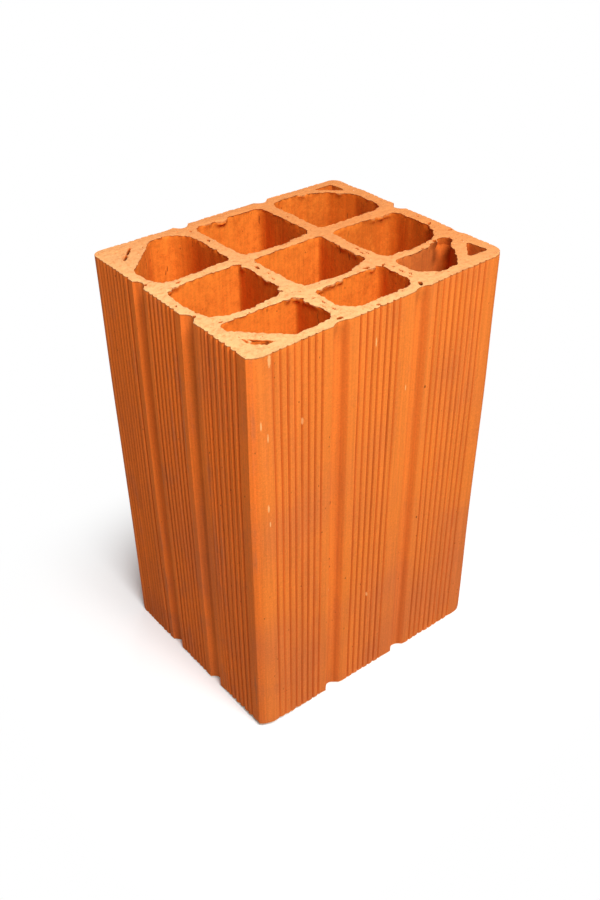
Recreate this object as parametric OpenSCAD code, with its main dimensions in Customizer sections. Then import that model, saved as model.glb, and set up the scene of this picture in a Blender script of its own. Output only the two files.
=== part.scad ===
// Hollow clay brick: one fired piece, pushed through a die and cut off by a wire.
// It stands on one cut end, so that its cells run straight up.
// Origin at the middle of the lower end, X along the wide sides, Y from front to back.

/* [Brick] */
// Width of the brick, along X
brick_w = 190; // [175:1:220]
// Depth of the brick, along Y
brick_d = 155; // [145:1:180]
// Length of the brick between its cut ends, along Z
brick_h = 290; // [100:5:400]
// Radius of the four long outer edges
edge_r = 6; // [2:0.5:8]

/* [Walls and webs] */
// Thickness of the left and right walls
side_wall = 8.5; // [7:0.5:11]
// Thickness of the front wall
front_wall = 7; // [6:0.5:10]
// Thickness of the back wall
back_wall = 8; // [6:0.5:10]
// Thickness of the two webs between the columns of cells
column_web = 8.5; // [6:0.5:11]
// Thickness of the two webs between the rows of cells
row_web = 6.5; // [5:0.5:9]
// Thickness of the slanting web between each corner cell and its corner void
corner_web = 8; // [6:0.5:9.5]

/* [Cells] */
// Depth of the front row of cells
front_cell_d = 30; // [28:0.5:36]
// Depth of the middle row of cells
middle_cell_d = 45.5; // [40:0.5:50]
// Width of the slanting cut on the front corner cells
front_cut_w = 25; // [22:0.5:28]
// Depth of the slanting cut on the front corner cells
front_cut_d = 25; // [22:0.5:26]
// Width of the slanting cut on the back corner cells
back_cut_w = 28; // [24:0.5:32]
// Depth of the slanting cut on the back corner cells
back_cut_d = 24; // [22:0.5:28]
// Radius of the cells' upright corners
cell_r = 6; // [2:0.5:8]

/* [Wide grooves] */
// Width of a wide groove at the face
groove_w = 11.5; // [8:0.5:13]
// Depth of a wide groove
groove_d = 4; // [2:0.25:4.5]
// How far the front's two wide grooves lie beside the middles of the column webs
front_groove_shift = -5; // [-8:0.5:8]
// Distance between the two wide grooves of the left side
left_groove_span = 47.5; // [44:0.5:56]
// How far the middle between those two lies beside the middle of the left side
left_groove_shift = 2; // [-4:0.5:4]

/* [Flutes] */
// Width of a flute at the face
flute_w = 2; // [1:0.25:3]
// Depth of a flute
flute_d = 1; // [0.5:0.25:1.5]
// Distance from one flute to the next on the front and back
wide_pitch = 4.75; // [4:0.05:6]
// Distance from one flute to the next on the right
right_pitch = 4.2; // [3.5:0.1:6]
// Distance from one flute to the next in the left side's three bands
left_pitches = [4.5, 4.1, 3.55]; // [3.4:0.05:6]

/* [Plain strips beside the bands of flutes] */
// Strip before each band of the front, from the edge or the last wide groove's middle
front_starts = [14.25, 14, 12]; // [9:0.25:20]
// Strip after each band of the front, up to the next wide groove's middle or the edge
front_ends = [12, 17.5, 18.5]; // [9:0.25:20]
// Strip before each band of the left side
left_starts = [12.5, 12, 11]; // [8.5:0.25:16]
// Strip after each band of the left side
left_ends = [11.25, 10.25, 8.5]; // [8.5:0.25:16]
// Strip between a wide groove's middle and the nearest flute on the back
back_strip = 15; // [9:0.5:17]
// Strip between a wide groove's middle and the nearest flute on the right
right_strip = 9; // [8.5:0.5:12]
// Strip between a long outer edge and the nearest flute on the back and right
edge_strip = 14; // [10:0.5:18]

/* [Hidden] */
$fn = 64;
columns = 3;
clay = [0.86, 0.44, 0.18];

cell_w = (brick_w - 2 * side_wall - (columns - 1) * column_web) / columns;
column_pitch = cell_w + column_web;
cell_left = -brick_w / 2 + side_wall;

front_cell_y = -brick_d / 2 + front_wall;
middle_cell_y = front_cell_y + front_cell_d + row_web;
back_cell_y = middle_cell_y + middle_cell_d + row_web;
back_cell_d = brick_d / 2 - back_wall - back_cell_y;

groove_r = (groove_w * groove_w / 4 + groove_d * groove_d) / (2 * groove_d);
back_grooves = [-column_pitch / 2, column_pitch / 2];
front_grooves = [for (place = back_grooves) place + front_groove_shift];
left_grooves = [for (end = [-1, 1]) left_groove_shift + end * left_groove_span / 2];
right_grooves = [middle_cell_y - row_web / 2, back_cell_y - row_web / 2];

// A rectangle with a true arc at each corner, by its lower left corner and its size
module rounded_box(x, y, w, d, r) {
    translate([x + r, y])
        square([w - 2 * r, d]);
    translate([x, y + r])
        square([w, d - 2 * r]);
    for (arc_x = [x + r, x + w - r], arc_y = [y + r, y + d - r])
        translate([arc_x, arc_y])
            circle(r);
}

// A triangle with its square corner at the lower left
module corner_triangle(x, y, w, d) {
    polygon([[x, y], [x + w, y], [x, y + d]]);
}

// The cells with four rounded corners: the middle column, and the middle row beside it
module square_cells() {
    middle_x = cell_left + column_pitch;
    rounded_box(middle_x, front_cell_y, cell_w, front_cell_d, cell_r);
    rounded_box(middle_x, back_cell_y, cell_w, back_cell_d, cell_r);
    for (column = [0 : columns - 1])
        rounded_box(cell_left + column * column_pitch, middle_cell_y, cell_w, middle_cell_d, cell_r);
}

// A front left corner: the cell with its slanting cut, and the three-sided void behind the cut
module corner(y, d, cut_w, cut_d) {
    cut_height = cut_w * cut_d / norm([cut_w, cut_d]);
    void_share = 1 - corner_web / cut_height;
    difference() {
        rounded_box(cell_left, y, cell_w, d, cell_r);
        corner_triangle(cell_left, y, cut_w, cut_d);
    }
    corner_triangle(cell_left, y, void_share * cut_w, void_share * cut_d);
}

// The four corners: front and back, left and right
module corners() {
    for (right = [0, 1])
        mirror([right, 0]) {
            corner(front_cell_y, front_cell_d, front_cut_w, front_cut_d);
            mirror([0, 1])
                corner(-back_cell_y - back_cell_d, back_cell_d, back_cut_w, back_cut_d);
        }
}

// A row of V-shaped flutes, as many as fit between two places on a face
module flutes(from, to, pitch) {
    gaps = floor((to - from) / pitch);
    first = (from + to - gaps * pitch) / 2;
    for (i = [0 : gaps])
        translate([first + i * pitch, 0])
            polygon([[-flute_w, flute_d], [0, -flute_d], [flute_w, flute_d]]);
}

// Cuts in one face, which lies along the X axis here and looks towards +Y
module face_cuts(half_w, grooves, starts, ends, pitches) {
    for (place = grooves)
        translate([place, groove_r - groove_d])
            circle(groove_r);
    stops = concat(-half_w, grooves, half_w);
    for (band = [0 : len(grooves)])
        flutes(stops[band] + starts[band], stops[band + 1] - ends[band], pitches[band]);
}

// The same with one strip beside the grooves, one at the edges and one pitch
module even_face_cuts(half_w, grooves, strip, pitch) {
    face_cuts(half_w, grooves, [edge_strip, strip, strip], [strip, strip, edge_strip], [pitch, pitch, pitch]);
}

// Wide grooves and flutes on all four sides
module side_cuts() {
    mirror([0, 1])
        translate([0, brick_d / 2])
            face_cuts(brick_w / 2, front_grooves, front_starts, front_ends, [wide_pitch, wide_pitch, wide_pitch]);
    translate([0, brick_d / 2])
        even_face_cuts(brick_w / 2, back_grooves, back_strip, wide_pitch);
    translate([-brick_w / 2, 0])
        rotate(90)
            face_cuts(brick_d / 2, left_grooves, left_starts, left_ends, left_pitches);
    translate([brick_w / 2, 0])
        mirror([1, 0])
            rotate(90)
                even_face_cuts(brick_d / 2, right_grooves, right_strip, right_pitch);
}

// The fired brick
module brick() {
    color(clay)
        linear_extrude(brick_h)
            difference() {
                rounded_box(-brick_w / 2, -brick_d / 2, brick_w, brick_d, edge_r);
                square_cells();
                corners();
                side_cuts();
            }
}

brick();
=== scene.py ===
"""Hollow clay brick: the looks of one fired piece, standing on a pale studio floor.

Sizes are millimetres in the brick's own frame: X along the wide sides, Y from front to back, Z up from
the lower end. Meshes are written in metres.
"""

import logging
import math
from dataclasses import dataclass, field
from enum import Enum
from typing import Iterable, Mapping, Sequence

import bpy
import numpy as np
from mathutils import Matrix, Vector
from mathutils.geometry import delaunay_2d_cdt
from numpy.typing import NDArray


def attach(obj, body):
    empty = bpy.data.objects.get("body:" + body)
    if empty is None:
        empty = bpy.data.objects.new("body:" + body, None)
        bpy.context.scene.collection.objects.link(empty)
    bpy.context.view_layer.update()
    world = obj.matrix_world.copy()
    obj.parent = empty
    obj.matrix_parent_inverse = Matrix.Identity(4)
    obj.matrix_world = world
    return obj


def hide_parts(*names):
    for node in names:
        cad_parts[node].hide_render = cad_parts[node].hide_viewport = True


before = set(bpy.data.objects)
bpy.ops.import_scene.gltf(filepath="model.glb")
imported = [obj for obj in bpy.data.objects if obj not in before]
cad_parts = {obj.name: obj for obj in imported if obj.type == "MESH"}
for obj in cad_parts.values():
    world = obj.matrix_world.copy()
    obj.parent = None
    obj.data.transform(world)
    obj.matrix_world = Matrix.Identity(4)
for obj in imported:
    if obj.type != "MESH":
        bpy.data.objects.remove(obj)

Floats = NDArray[np.float64]
Ints = NDArray[np.int64]
Flags = NDArray[np.bool_]
Colour = tuple[float, float, float]

MM = 0.001
CLAY_NODE = "brick"
BODY = "root"
# The third mark holds painted shade in flutes, groove flanks, chips, pits and cracks, and crumb colour
# beside cracks.
MARKS = ("cut", "inner", "shade_and_crumbs")
WHITE = (1.0, 1.0, 1.0, 1.0)
ON_END = 0.1
NARROWING = 3
SHARP_DEGREES = 32.0
HALF_TURN = 180.0
ROW_HEIGHT = math.sqrt(0.75)
CDT_INSIDE = 1
CDT_MERGE = 1e-7
SIDE_SEED = 7
NOISE_TABLE = 8191
NOISE_PRIMES = np.array([73856093, 19349663, 83492791], dtype=np.int64)

log = logging.getLogger("clay_brick")


def smooth_step(low: float, high: float, value: Floats) -> Floats:
    """Rise from 0 at low to 1 at high by the curve 3f^2 - 2f^3 of the share f between them.

    Args:
        low: Where the rise starts.
        high: Where it ends.
        value: The places to work out.

    Returns:
        The risen share at each place.
    """
    share = np.clip((value - low) / (high - low), 0.0, 1.0)
    return share * share * (3.0 - 2.0 * share)


@dataclass(frozen=True)
class ClayNoise:
    """Smooth random waves in the clay.

    Random values from -1 to 1 stand on a lattice with the three given steps. A place between them blends
    its eight neighbours by the curve 3f^2 - 2f^3 of its share f along each axis, times the height.
    """

    steps: tuple[float, float, float]
    seed: int
    height: float = 1.0

    def at(self, points: Floats) -> Floats:
        """Work out the waves at places in space.

        Args:
            points: Places, with X, Y and Z along the last axis.

        Returns:
            One value from -height to height for each place.
        """
        table = np.random.default_rng(self.seed).uniform(-1.0, 1.0, NOISE_TABLE)
        scaled = points / np.array(self.steps)
        corner_place = np.floor(scaled).astype(np.int64)
        share = scaled - corner_place
        blend = share * share * (3.0 - 2.0 * share)
        total = np.zeros(points.shape[:-1])
        for corner in np.ndindex(2, 2, 2):
            key = (corner_place + np.array(corner)) * NOISE_PRIMES
            mixed = key[..., 0] ^ key[..., 1] ^ key[..., 2]
            weight = np.where(np.array(corner) == 1, blend, 1.0 - blend).prod(axis=-1)
            total += weight * table[mixed % NOISE_TABLE]
        return self.height * total


def waves(noises: Sequence[ClayNoise], points: Floats, start: float = 0.0) -> Floats:
    """Sum of several waves at places in space, on top of a fixed start."""
    return sum((noise.at(points) for noise in noises), start)


def on_end(away: Floats) -> Floats:
    """1 for rows that lie on a cut end, by their distance from it, and 0 for the others."""
    return np.where(away < ON_END, 1.0, 0.0)


def raised(plan: Floats, height: Floats | float = 0.0) -> Floats:
    """Add heights to places in plan, as a new array with X, Y and Z along the last axis."""
    return np.concatenate([plan, np.broadcast_to(height, plan.shape[:-1])[..., None]], axis=-1)


def stacked(line: Floats, levels: Floats) -> Floats:
    """Repeat an outline at several heights: places by row and column."""
    return raised(np.broadcast_to(line, (len(levels), *line.shape)), levels[:, None])


class Side(Enum):
    """The four outer sides, each with its direction of travel and its outward normal."""

    FRONT = ((1.0, 0.0), (0.0, -1.0))
    RIGHT = ((0.0, 1.0), (1.0, 0.0))
    BACK = ((-1.0, 0.0), (0.0, 1.0))
    LEFT = ((0.0, -1.0), (-1.0, 0.0))

    @property
    def along(self) -> Floats:
        """Direction in which the outline runs on this side, seen from above."""
        return np.array(self.value[0])

    @property
    def out(self) -> Floats:
        """Direction that the side faces."""
        return np.array(self.value[1])

    @property
    def sign(self) -> float:
        """1 where the outline runs towards +X or +Y, and -1 where it runs back."""
        return float(sum(self.value[0]))


@dataclass(frozen=True)
class FluteBand:
    """A row of narrow flutes at equal distances on one side.

    depth is their share of the side's usual flute depth, and tint how much the painted shade inside them
    darkens the clay.
    """

    first: float
    last: float
    count: int
    depth: float = 1.0
    tint: float = 1.0

    def centres(self) -> Floats:
        """Places of the flutes along X or Y."""
        return np.linspace(self.first, self.last, self.count)


@dataclass(frozen=True)
class WideGroove:
    """A wide shallow groove on one side.

    low_half and high_half are its widths from the deepest line towards lower and higher X or Y. closed is
    the share of it that torn clay closes at the upper end, over closed_length. shade is how much painted
    shade darkens the clay on the higher flank, in a bell curve round flank_place of its width.
    """

    centre: float
    depth: float
    low_half: float = 5.6
    high_half: float = 5.6
    closed: float = 0.0
    shade: float = 0.0
    closed_length: float = 13.0
    flank_place: float = 0.66
    flank_half: float = 0.26

    def across(self, place: Floats) -> Floats:
        """Work out the share of the depth across the groove: a parabola on each flank.

        Args:
            place: Places along X or Y.

        Returns:
            1 on the deepest line, falling to 0 at both edges and outside them.
        """
        off = place - self.centre
        half = np.where(off < 0.0, self.low_half, self.high_half)
        return np.clip(1.0 - (off / half) ** 2, 0.0, 1.0)

    def flank(self, place: Floats) -> Floats:
        """Bell curve across the steep outer part of the higher flank, where painted shade lies."""
        share = (place - self.centre) / self.high_half
        return np.exp(-(((share - self.flank_place) / self.flank_half) ** 2))


@dataclass(frozen=True)
class FlutedSide:
    """One outer side with its flutes and wide grooves.

    A flute's depth departs from flute_d by its band's share, by up to own_spread of its own and by the wear
    along its length. The cutting wire smears end_smear of it at both ends, fading over smear_length.
    """

    side: Side
    half_length: float
    half_depth: float
    bands: tuple[FluteBand, ...]
    grooves: tuple[WideGroove, ...]
    flute_w: float = 1.9
    flute_d: float = 1.0
    plain_step: float = 2.6
    least_step: float = 0.32
    flute_columns: tuple[float, ...] = (-1.4, -1.0, -0.5, 0.0, 0.5, 1.0, 1.4)
    groove_columns: int = 11
    own_spread: float = 0.1
    wear: ClayNoise = ClayNoise((5.0, 1.0, 55.0), 31, 0.3)
    end_smear: float = 0.45
    smear_length: float = 2.5

    def flute_centres(self) -> Floats:
        """Places of all flutes along X or Y."""
        return np.concatenate([band.centres() for band in self.bands])

    def by_flute(self, values: Sequence[float]) -> Floats:
        """Repeat one value to a band for each of its flutes."""
        return np.repeat(values, [band.count for band in self.bands])

    def columns(self, low: float, high: float) -> Floats:
        """Choose the outline's places on this side: close on flutes and grooves, even steps elsewhere.

        Args:
            low: Where the corner arc before the side ends, along the direction of travel.
            high: Where the corner arc after it starts.

        Returns:
            Rising places along the direction of travel.
        """
        flutes = self.flute_centres()[:, None] + self.flute_w / 2 * np.array(self.flute_columns)
        grooves = [
            np.linspace(one.centre - one.low_half, one.centre + one.high_half, self.groove_columns)
            for one in self.grooves
        ]
        fixed = np.concatenate([flutes.ravel(), *grooves]) * self.side.sign
        fixed = np.sort(fixed[(fixed > low + self.least_step) & (fixed < high - self.least_step)])
        even = np.linspace(low, high, int((high - low) / self.plain_step) + 1)
        clear = np.abs(even[:, None] - fixed).min(axis=1) > self.plain_step / 2
        clear[[0, -1]] = True
        places = np.sort(np.concatenate([fixed, even[clear]]))
        keep = np.concatenate([[True], np.diff(places) > self.least_step])
        keep[-1] = True
        keep[-2] = keep[-2] and places[-1] - places[-2] > self.least_step
        return places[keep]

    def depth(self, along: Floats, height: Floats, top: float) -> tuple[Floats, Floats]:
        """Work out how far the clay lies behind the plain side.

        A flute is a raised cosine across its width, a groove is a parabola, and the deeper of them counts.
        Torn clay closes part of a groove in its last millimetres.

        Args:
            along: Places along the direction of travel, one to a column.
            height: Heights, one to a row.
            top: Height of the upper end.

        Returns:
            Depth by row and column, and the share of painted shade in the flutes and on the groove flanks.
        """
        place = along * self.side.sign
        centres = self.flute_centres()
        off = (place[:, None] - centres) / (self.flute_w / 2)
        rng = np.random.default_rng(int(self.half_depth * SIDE_SEED))
        own = 1.0 + self.own_spread * rng.uniform(-1, 1, len(centres))
        own = own * self.by_flute([band.depth for band in self.bands])
        wave = np.where(np.abs(off) < 1.0, 0.5 + 0.5 * np.cos(np.pi * np.clip(off, -1.0, 1.0)), 0.0)
        grid = np.stack(np.broadcast_arrays(along[None, :], self.half_depth, height[:, None]), axis=-1)
        worn = 1.0 + self.wear.at(grid)
        end = np.minimum(height, top - height)
        smeared = 1.0 - self.end_smear * np.exp(-end / self.smear_length)[:, None]
        flute = self.flute_d * (wave * own).max(axis=1)[None, :] * worn * smeared
        # Painted shade inside the flutes, by each band's tint and the flute's depth.
        flute_shade = wave * own * self.by_flute([band.tint for band in self.bands])
        shade_and_crumbs = flute_shade.max(axis=1)[None, :] * worn * smeared
        groove = np.zeros_like(flute)
        for one in self.grooves:
            closing = one.closed * (1.0 - smooth_step(0.0, one.closed_length, top - height))
            groove = np.maximum(groove, one.depth * one.across(place)[None, :] * (1.0 - closing[:, None]))
            # Painted shade on the groove's higher flank.
            shade_and_crumbs = np.maximum(shade_and_crumbs, one.shade * one.flank(place)[None, :])
        return np.maximum(flute, groove), shade_and_crumbs


@dataclass(frozen=True)
class LongEdge:
    """The long outer edge after a side: an arc that ends square to the next side.

    arris is the angle in degrees at which the arc starts: 0 where it leaves the side smoothly, more where a
    sharp arris stands between them.
    """

    radius: float
    arris: float = 0.0

    def used_before(self) -> float:
        """Length of the side before the edge that the arc takes up."""
        return self.radius * (1.0 - math.sin(math.radians(self.arris)))

    def used_after(self) -> float:
        """Length of the side after the edge that the arc takes up."""
        return self.radius * math.cos(math.radians(self.arris))


@dataclass(frozen=True)
class RimBurr:
    """Torn clay on a rim, which reaches into the hole, or is chipped away where reach is negative.

    lift is how far the clay stands up there, and a ragged burr is torn into teeth.
    """

    x: float
    y: float
    half: float
    reach: float
    hang: float = 1.6
    lift: float = 0.0
    ragged: bool = True

    def bell(self, plan: Floats, power: float) -> Floats:
        """Bell curve round the burr's place: 1 there, and 1/e at its half width."""
        return np.exp(-((np.hypot(plan[..., 0] - self.x, plan[..., 1] - self.y) / self.half) ** power))


@dataclass(frozen=True)
class TornRim:
    """How the upper rim of a hole is torn.

    Fine waves fade over fine_fade below the end, and stand back by fine_back. The rim drops by drop_start
    and by slow waves. A burr's teeth are waves round teeth_start, kept within teeth_range. The painted
    shade of a deep chip lies on its right, within chip_sides of its place.
    """

    burrs: tuple[RimBurr, ...]
    fine: tuple[ClayNoise, ...] = (
        ClayNoise((5.2, 5.2, 6.0), 11, 0.12),
        ClayNoise((2.2, 2.2, 2.4), 12, 0.45),
        ClayNoise((1.2, 1.2, 1.4), 16, 0.42),
    )
    fine_back: float = 0.15
    fine_fade: float = 1.8
    drops: tuple[ClayNoise, ...] = (
        ClayNoise((5.0, 5.0, 5.0), 13, 0.3),
        ClayNoise((1.6, 1.6, 1.6), 17, 0.2),
    )
    drop_start: float = 0.25
    teeth: tuple[ClayNoise, ...] = (
        ClayNoise((2.3, 2.3, 2.3), 14, 0.5),
        ClayNoise((4.5, 4.5, 4.5), 15, 0.35),
    )
    teeth_start: float = 0.75
    teeth_range: tuple[float, float] = (0.1, 1.3)
    blunt: float = 4.0
    undercut: float = 2.2
    reach_drop: float = 0.2
    pale_share: float = 0.62
    pale_start: float = 0.5
    pale_past_hang: float = 0.6
    pale_spread: float = 1.3
    deep_chip: float = -1.0
    chip_sides: tuple[float, float] = (-4.5, 3.0)
    chip_depth: float = 1.5

    def pale(self, burr: RimBurr, bell: Floats, below: Floats) -> Floats:
        """Work out the share of pale cut clay on a burr, fading downwards past where it hangs.

        Args:
            burr: The burr.
            bell: Its bell curve along the rim.
            below: Depths below the upper end, one to a row.

        Returns:
            The share by row and column.
        """
        last = burr.hang + self.pale_past_hang
        fade = self.pale_share * (1.0 - smooth_step(self.pale_start, last, below))
        return np.clip(self.pale_spread * bell, 0.0, 1.0)[None, :] * fade[:, None]

    def painted_chip_shade(self, burr: RimBurr, line: Floats, below: Floats) -> Floats:
        """Work out the share of painted shade in a deep chip, on its right.

        Args:
            burr: The chip.
            line: The hole's outline.
            below: Depths below the upper end, one to a row.

        Returns:
            The share by row and column.
        """
        low, high = (burr.x + side for side in self.chip_sides)
        shaded = burr.bell(line, 2.0) * smooth_step(low, high, line[:, 0])
        return shaded[None, :] * smooth_step(0.0, self.chip_depth, below)[:, None]

    def shape(self, line: Floats, inward: Floats, below: Floats) -> tuple[Floats, Floats, Floats, Floats]:
        """Work out the torn upper rim of a hole.

        Each burr is a bell curve round its place that keeps its reach down to where it hangs and is then
        undercut.

        Args:
            line: The hole's outline.
            inward: Directions into the hole.
            below: Depths below the upper end, one to a row.

        Returns:
            Places in plan by row and column, the drop of the rim by column, and the shares of cut clay and
            of painted chip shade by row and column.
        """
        flat = raised(line)
        fine = waves(self.fine, stacked(line, below))
        offset = (fine - self.fine_back) * np.exp(-below / self.fine_fade)[:, None]
        drop = waves(self.drops, flat, self.drop_start)
        teeth = np.clip(waves(self.teeth, flat, self.teeth_start), *self.teeth_range)
        cut = np.broadcast_to(on_end(below)[:, None], offset.shape)
        chip_shade = np.zeros_like(offset)
        for burr in self.burrs:
            bell = burr.bell(line, self.blunt) * (teeth if burr.ragged else 1.0)
            kept = 1.0 - smooth_step(burr.hang, burr.hang + self.undercut, below)
            offset = offset + burr.reach * bell[None, :] * kept[:, None]
            drop = drop + (self.reach_drop * abs(burr.reach) - burr.lift) * bell
            if burr.reach > 0.0:
                cut = np.maximum(cut, self.pale(burr, bell, below))
            elif burr.reach < self.deep_chip:
                chip_shade = np.maximum(chip_shade, self.painted_chip_shade(burr, line, below))
        return line[None] + inward[None] * offset[..., None], drop, cut, chip_shade


@dataclass(frozen=True)
class Pit:
    """An oval hole in a cut end, steep between the two shares of its size in rim.

    Its own mesh points stand on ovals at the shares ring_shares, crowd points to a millimetre of half
    sizes, and the end's even grid keeps grid_gap of its step away from them.
    """

    x: float
    y: float
    half_length: float
    half_width: float
    angle: float
    depth: float
    rim: tuple[float, float] = (0.62, 1.05)
    ring_shares: tuple[float, ...] = (0.4, 0.78, 1.0, 1.22)
    crowd: float = 3.9
    points_range: tuple[int, int] = (9, 40)
    grid_gap: float = 0.35

    def local(self, points: Floats) -> Floats:
        """Turn places into this pit's own frame.

        Args:
            points: Places with X and Y along the last axis.

        Returns:
            Places where the pit's rim is the unit circle.
        """
        turn = math.radians(self.angle)
        off = points[..., :2] - np.array([self.x, self.y])
        long = off @ np.array([math.cos(turn), math.sin(turn)])
        wide = off @ np.array([-math.sin(turn), math.cos(turn)])
        return np.stack([long / self.half_length, wide / self.half_width], axis=-1)

    def rings(self) -> Floats:
        """Lay out the pit's own mesh points on ovals inside and round its rim, closer where it is steep.

        Returns:
            Places with X and Y along the last axis.
        """
        count = int(np.clip(self.crowd * (self.half_length + self.half_width), *self.points_range))
        turn = math.radians(self.angle)
        around = np.linspace(0.0, 2.0 * np.pi, count, endpoint=False)
        share = np.array(self.ring_shares)[:, None]
        long = (share * self.half_length * np.cos(around)).ravel()
        wide = (share * self.half_width * np.sin(around)).ravel()
        x = self.x + long * math.cos(turn) - wide * math.sin(turn)
        y = self.y + long * math.sin(turn) + wide * math.cos(turn)
        return np.stack([x, y], axis=-1)

    def clear(self, plan: Floats, step: float) -> Flags:
        """Whether each place of an even grid with the given step is clear of the pit's own points."""
        least = self.ring_shares[-1] + self.grid_gap * step / self.half_width
        return np.linalg.norm(self.local(plan), axis=1) > least

    def drop(self, points: Floats) -> Floats:
        """Depth below the cut end: full inside, and rising to nothing along a steep rim."""
        radius = np.linalg.norm(self.local(points), axis=-1)
        return self.depth * (1.0 - smooth_step(*self.rim, radius))


@dataclass(frozen=True)
class Clog:
    """Clay that fills the upper end of a corner void, lower than the cut end, with a crack along one edge.

    The three corners run anticlockwise seen from above, and the cracked slanting edge goes from the last to
    the first. The crack lies crack_place inside that edge and holds painted shade, as does the fainter
    crack along the first edge, and darker crumbs lie beside it. Mesh points stand on lines along each edge,
    at the distances line_depths inside it.
    """

    corners: tuple[tuple[float, float], ...]
    depth: float
    crack: float
    crack_half: float
    crumbs: float
    seed: int
    crack_place: float = 0.25
    crack_ends: tuple[float, float] = (-0.1, 0.6)
    crack_kept: float = 0.75
    crack_broken: float = 0.7
    crack_shade: tuple[float, float] = (0.35, 0.24)
    beside_share: float = 0.3
    beside_rise: tuple[float, float] = (0.3, 1.0)
    beside_fall: tuple[float, float] = (2.0, 3.6)
    back_depth: float = 0.7
    back_half: float = 0.2
    back_shade: float = 0.25
    floor_edge: float = 0.7
    crumb_height: float = 0.8
    slow_crumbs: float = 0.6
    crumb_steps: tuple[float, float, float] = (1.8, 4.0, 2.2)
    line_depths: tuple[float, ...] = (0.0, 0.25, 0.5, 0.9, 1.4)
    line_shares: tuple[float, float, int] = (0.02, 0.98, 19)
    on_edge: float = -0.01
    near_edge: tuple[float, float] = (-0.7, 1.9)

    def inside(self, plan: Floats) -> Floats:
        """Distance of each place inside each of the three edges, negative outside them.

        Args:
            plan: Places with X and Y along the last axis.

        Returns:
            Distances by place and edge.
        """
        corner = np.array(self.corners)
        edge = np.roll(corner, -1, axis=0) - corner
        edge /= np.linalg.norm(edge, axis=1, keepdims=True)
        off = plan[:, None, :] - corner[None]
        return edge[None, :, 0] * off[..., 1] - edge[None, :, 1] * off[..., 0]

    def points(self) -> Floats:
        """Lay out the recess's own mesh points: lines along its edges at several distances inside them.

        Returns:
            Places with X and Y along the last axis.
        """
        corner = np.array(self.corners)
        after = np.roll(corner, -1, axis=0)
        normal = (after - corner) @ np.array([[0.0, 1.0], [-1.0, 0.0]])
        normal /= np.linalg.norm(normal, axis=1, keepdims=True)
        share = np.linspace(*self.line_shares)[None, :, None, None]
        depth = np.array(self.line_depths)[None, None, :, None]
        start, edge, inner = (one[:, None, None] for one in (corner, after - corner, normal))
        places = (start + edge * share + inner * depth).reshape(-1, 2)
        return places[self.inside(places).min(axis=1) > self.on_edge]

    def holds(self, plan: Floats) -> Flags:
        """Whether each place lies inside the recess or close outside it."""
        return self.inside(plan).min(axis=1) > self.near_edge[0]

    def near(self, plan: Floats) -> Flags:
        """Whether each place lies on or beside the recess's own lines of points."""
        return self.holds(plan) & (self.inside(plan).min(axis=1) < self.near_edge[1])

    def noise(self, number: int, flat: Floats) -> Floats:
        """One of the plug's three random waves, with its own step and seed."""
        step = self.crumb_steps[number]
        return ClayNoise((step, step, 1.0), self.seed + number).at(flat)

    def drop(self, plan: Floats) -> tuple[Floats, Floats]:
        """Work out the depth below the cut end: a crumbly floor and a broken crack along the slanting edge.

        The crack and a fainter one along the first edge are bell curves of the distance from the edge, and
        both fade at their ends. Darker crumbs lie beside the crack.

        Args:
            plan: Places with X and Y along the last axis.

        Returns:
            Depth of each place, and its share of painted shade in the cracks and of crumb colour beside
            them.
        """
        inside = self.inside(plan)
        first, second, slanting = inside.T
        flat = raised(plan)
        crumbs = self.noise(0, flat)
        crumbs += self.slow_crumbs * self.noise(1, flat)
        edge = smooth_step(0.0, self.floor_edge, inside.min(axis=1))
        floor = self.depth * (1.0 + self.crumb_height * crumbs) * edge
        ends = smooth_step(*self.crack_ends, np.minimum(first, second))
        broken = np.clip(self.crack_kept + self.crack_broken * self.noise(2, flat), 0.0, 1.0)
        crack = ends * broken * np.exp(-(((slanting - self.crack_place) / self.crack_half) ** 2))
        back = self.back_depth * ends * np.exp(-(((first - self.crack_place) / self.back_half) ** 2))
        rise, fall = (smooth_step(*one, slanting) for one in (self.beside_rise, self.beside_fall))
        beside = self.beside_share * ends * rise * (1.0 - fall)
        # Painted shade in the crack, stronger where it is deeper, and along the first edge.
        least, by_depth = self.crack_shade
        dark = (least + by_depth * self.crack) * crack + self.back_shade * back
        dark = np.clip(dark + self.crumbs * beside * (1.0 + crumbs), 0.0, 1.0)
        return np.maximum(floor + self.crack * crack + back, 0.0), dark


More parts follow.
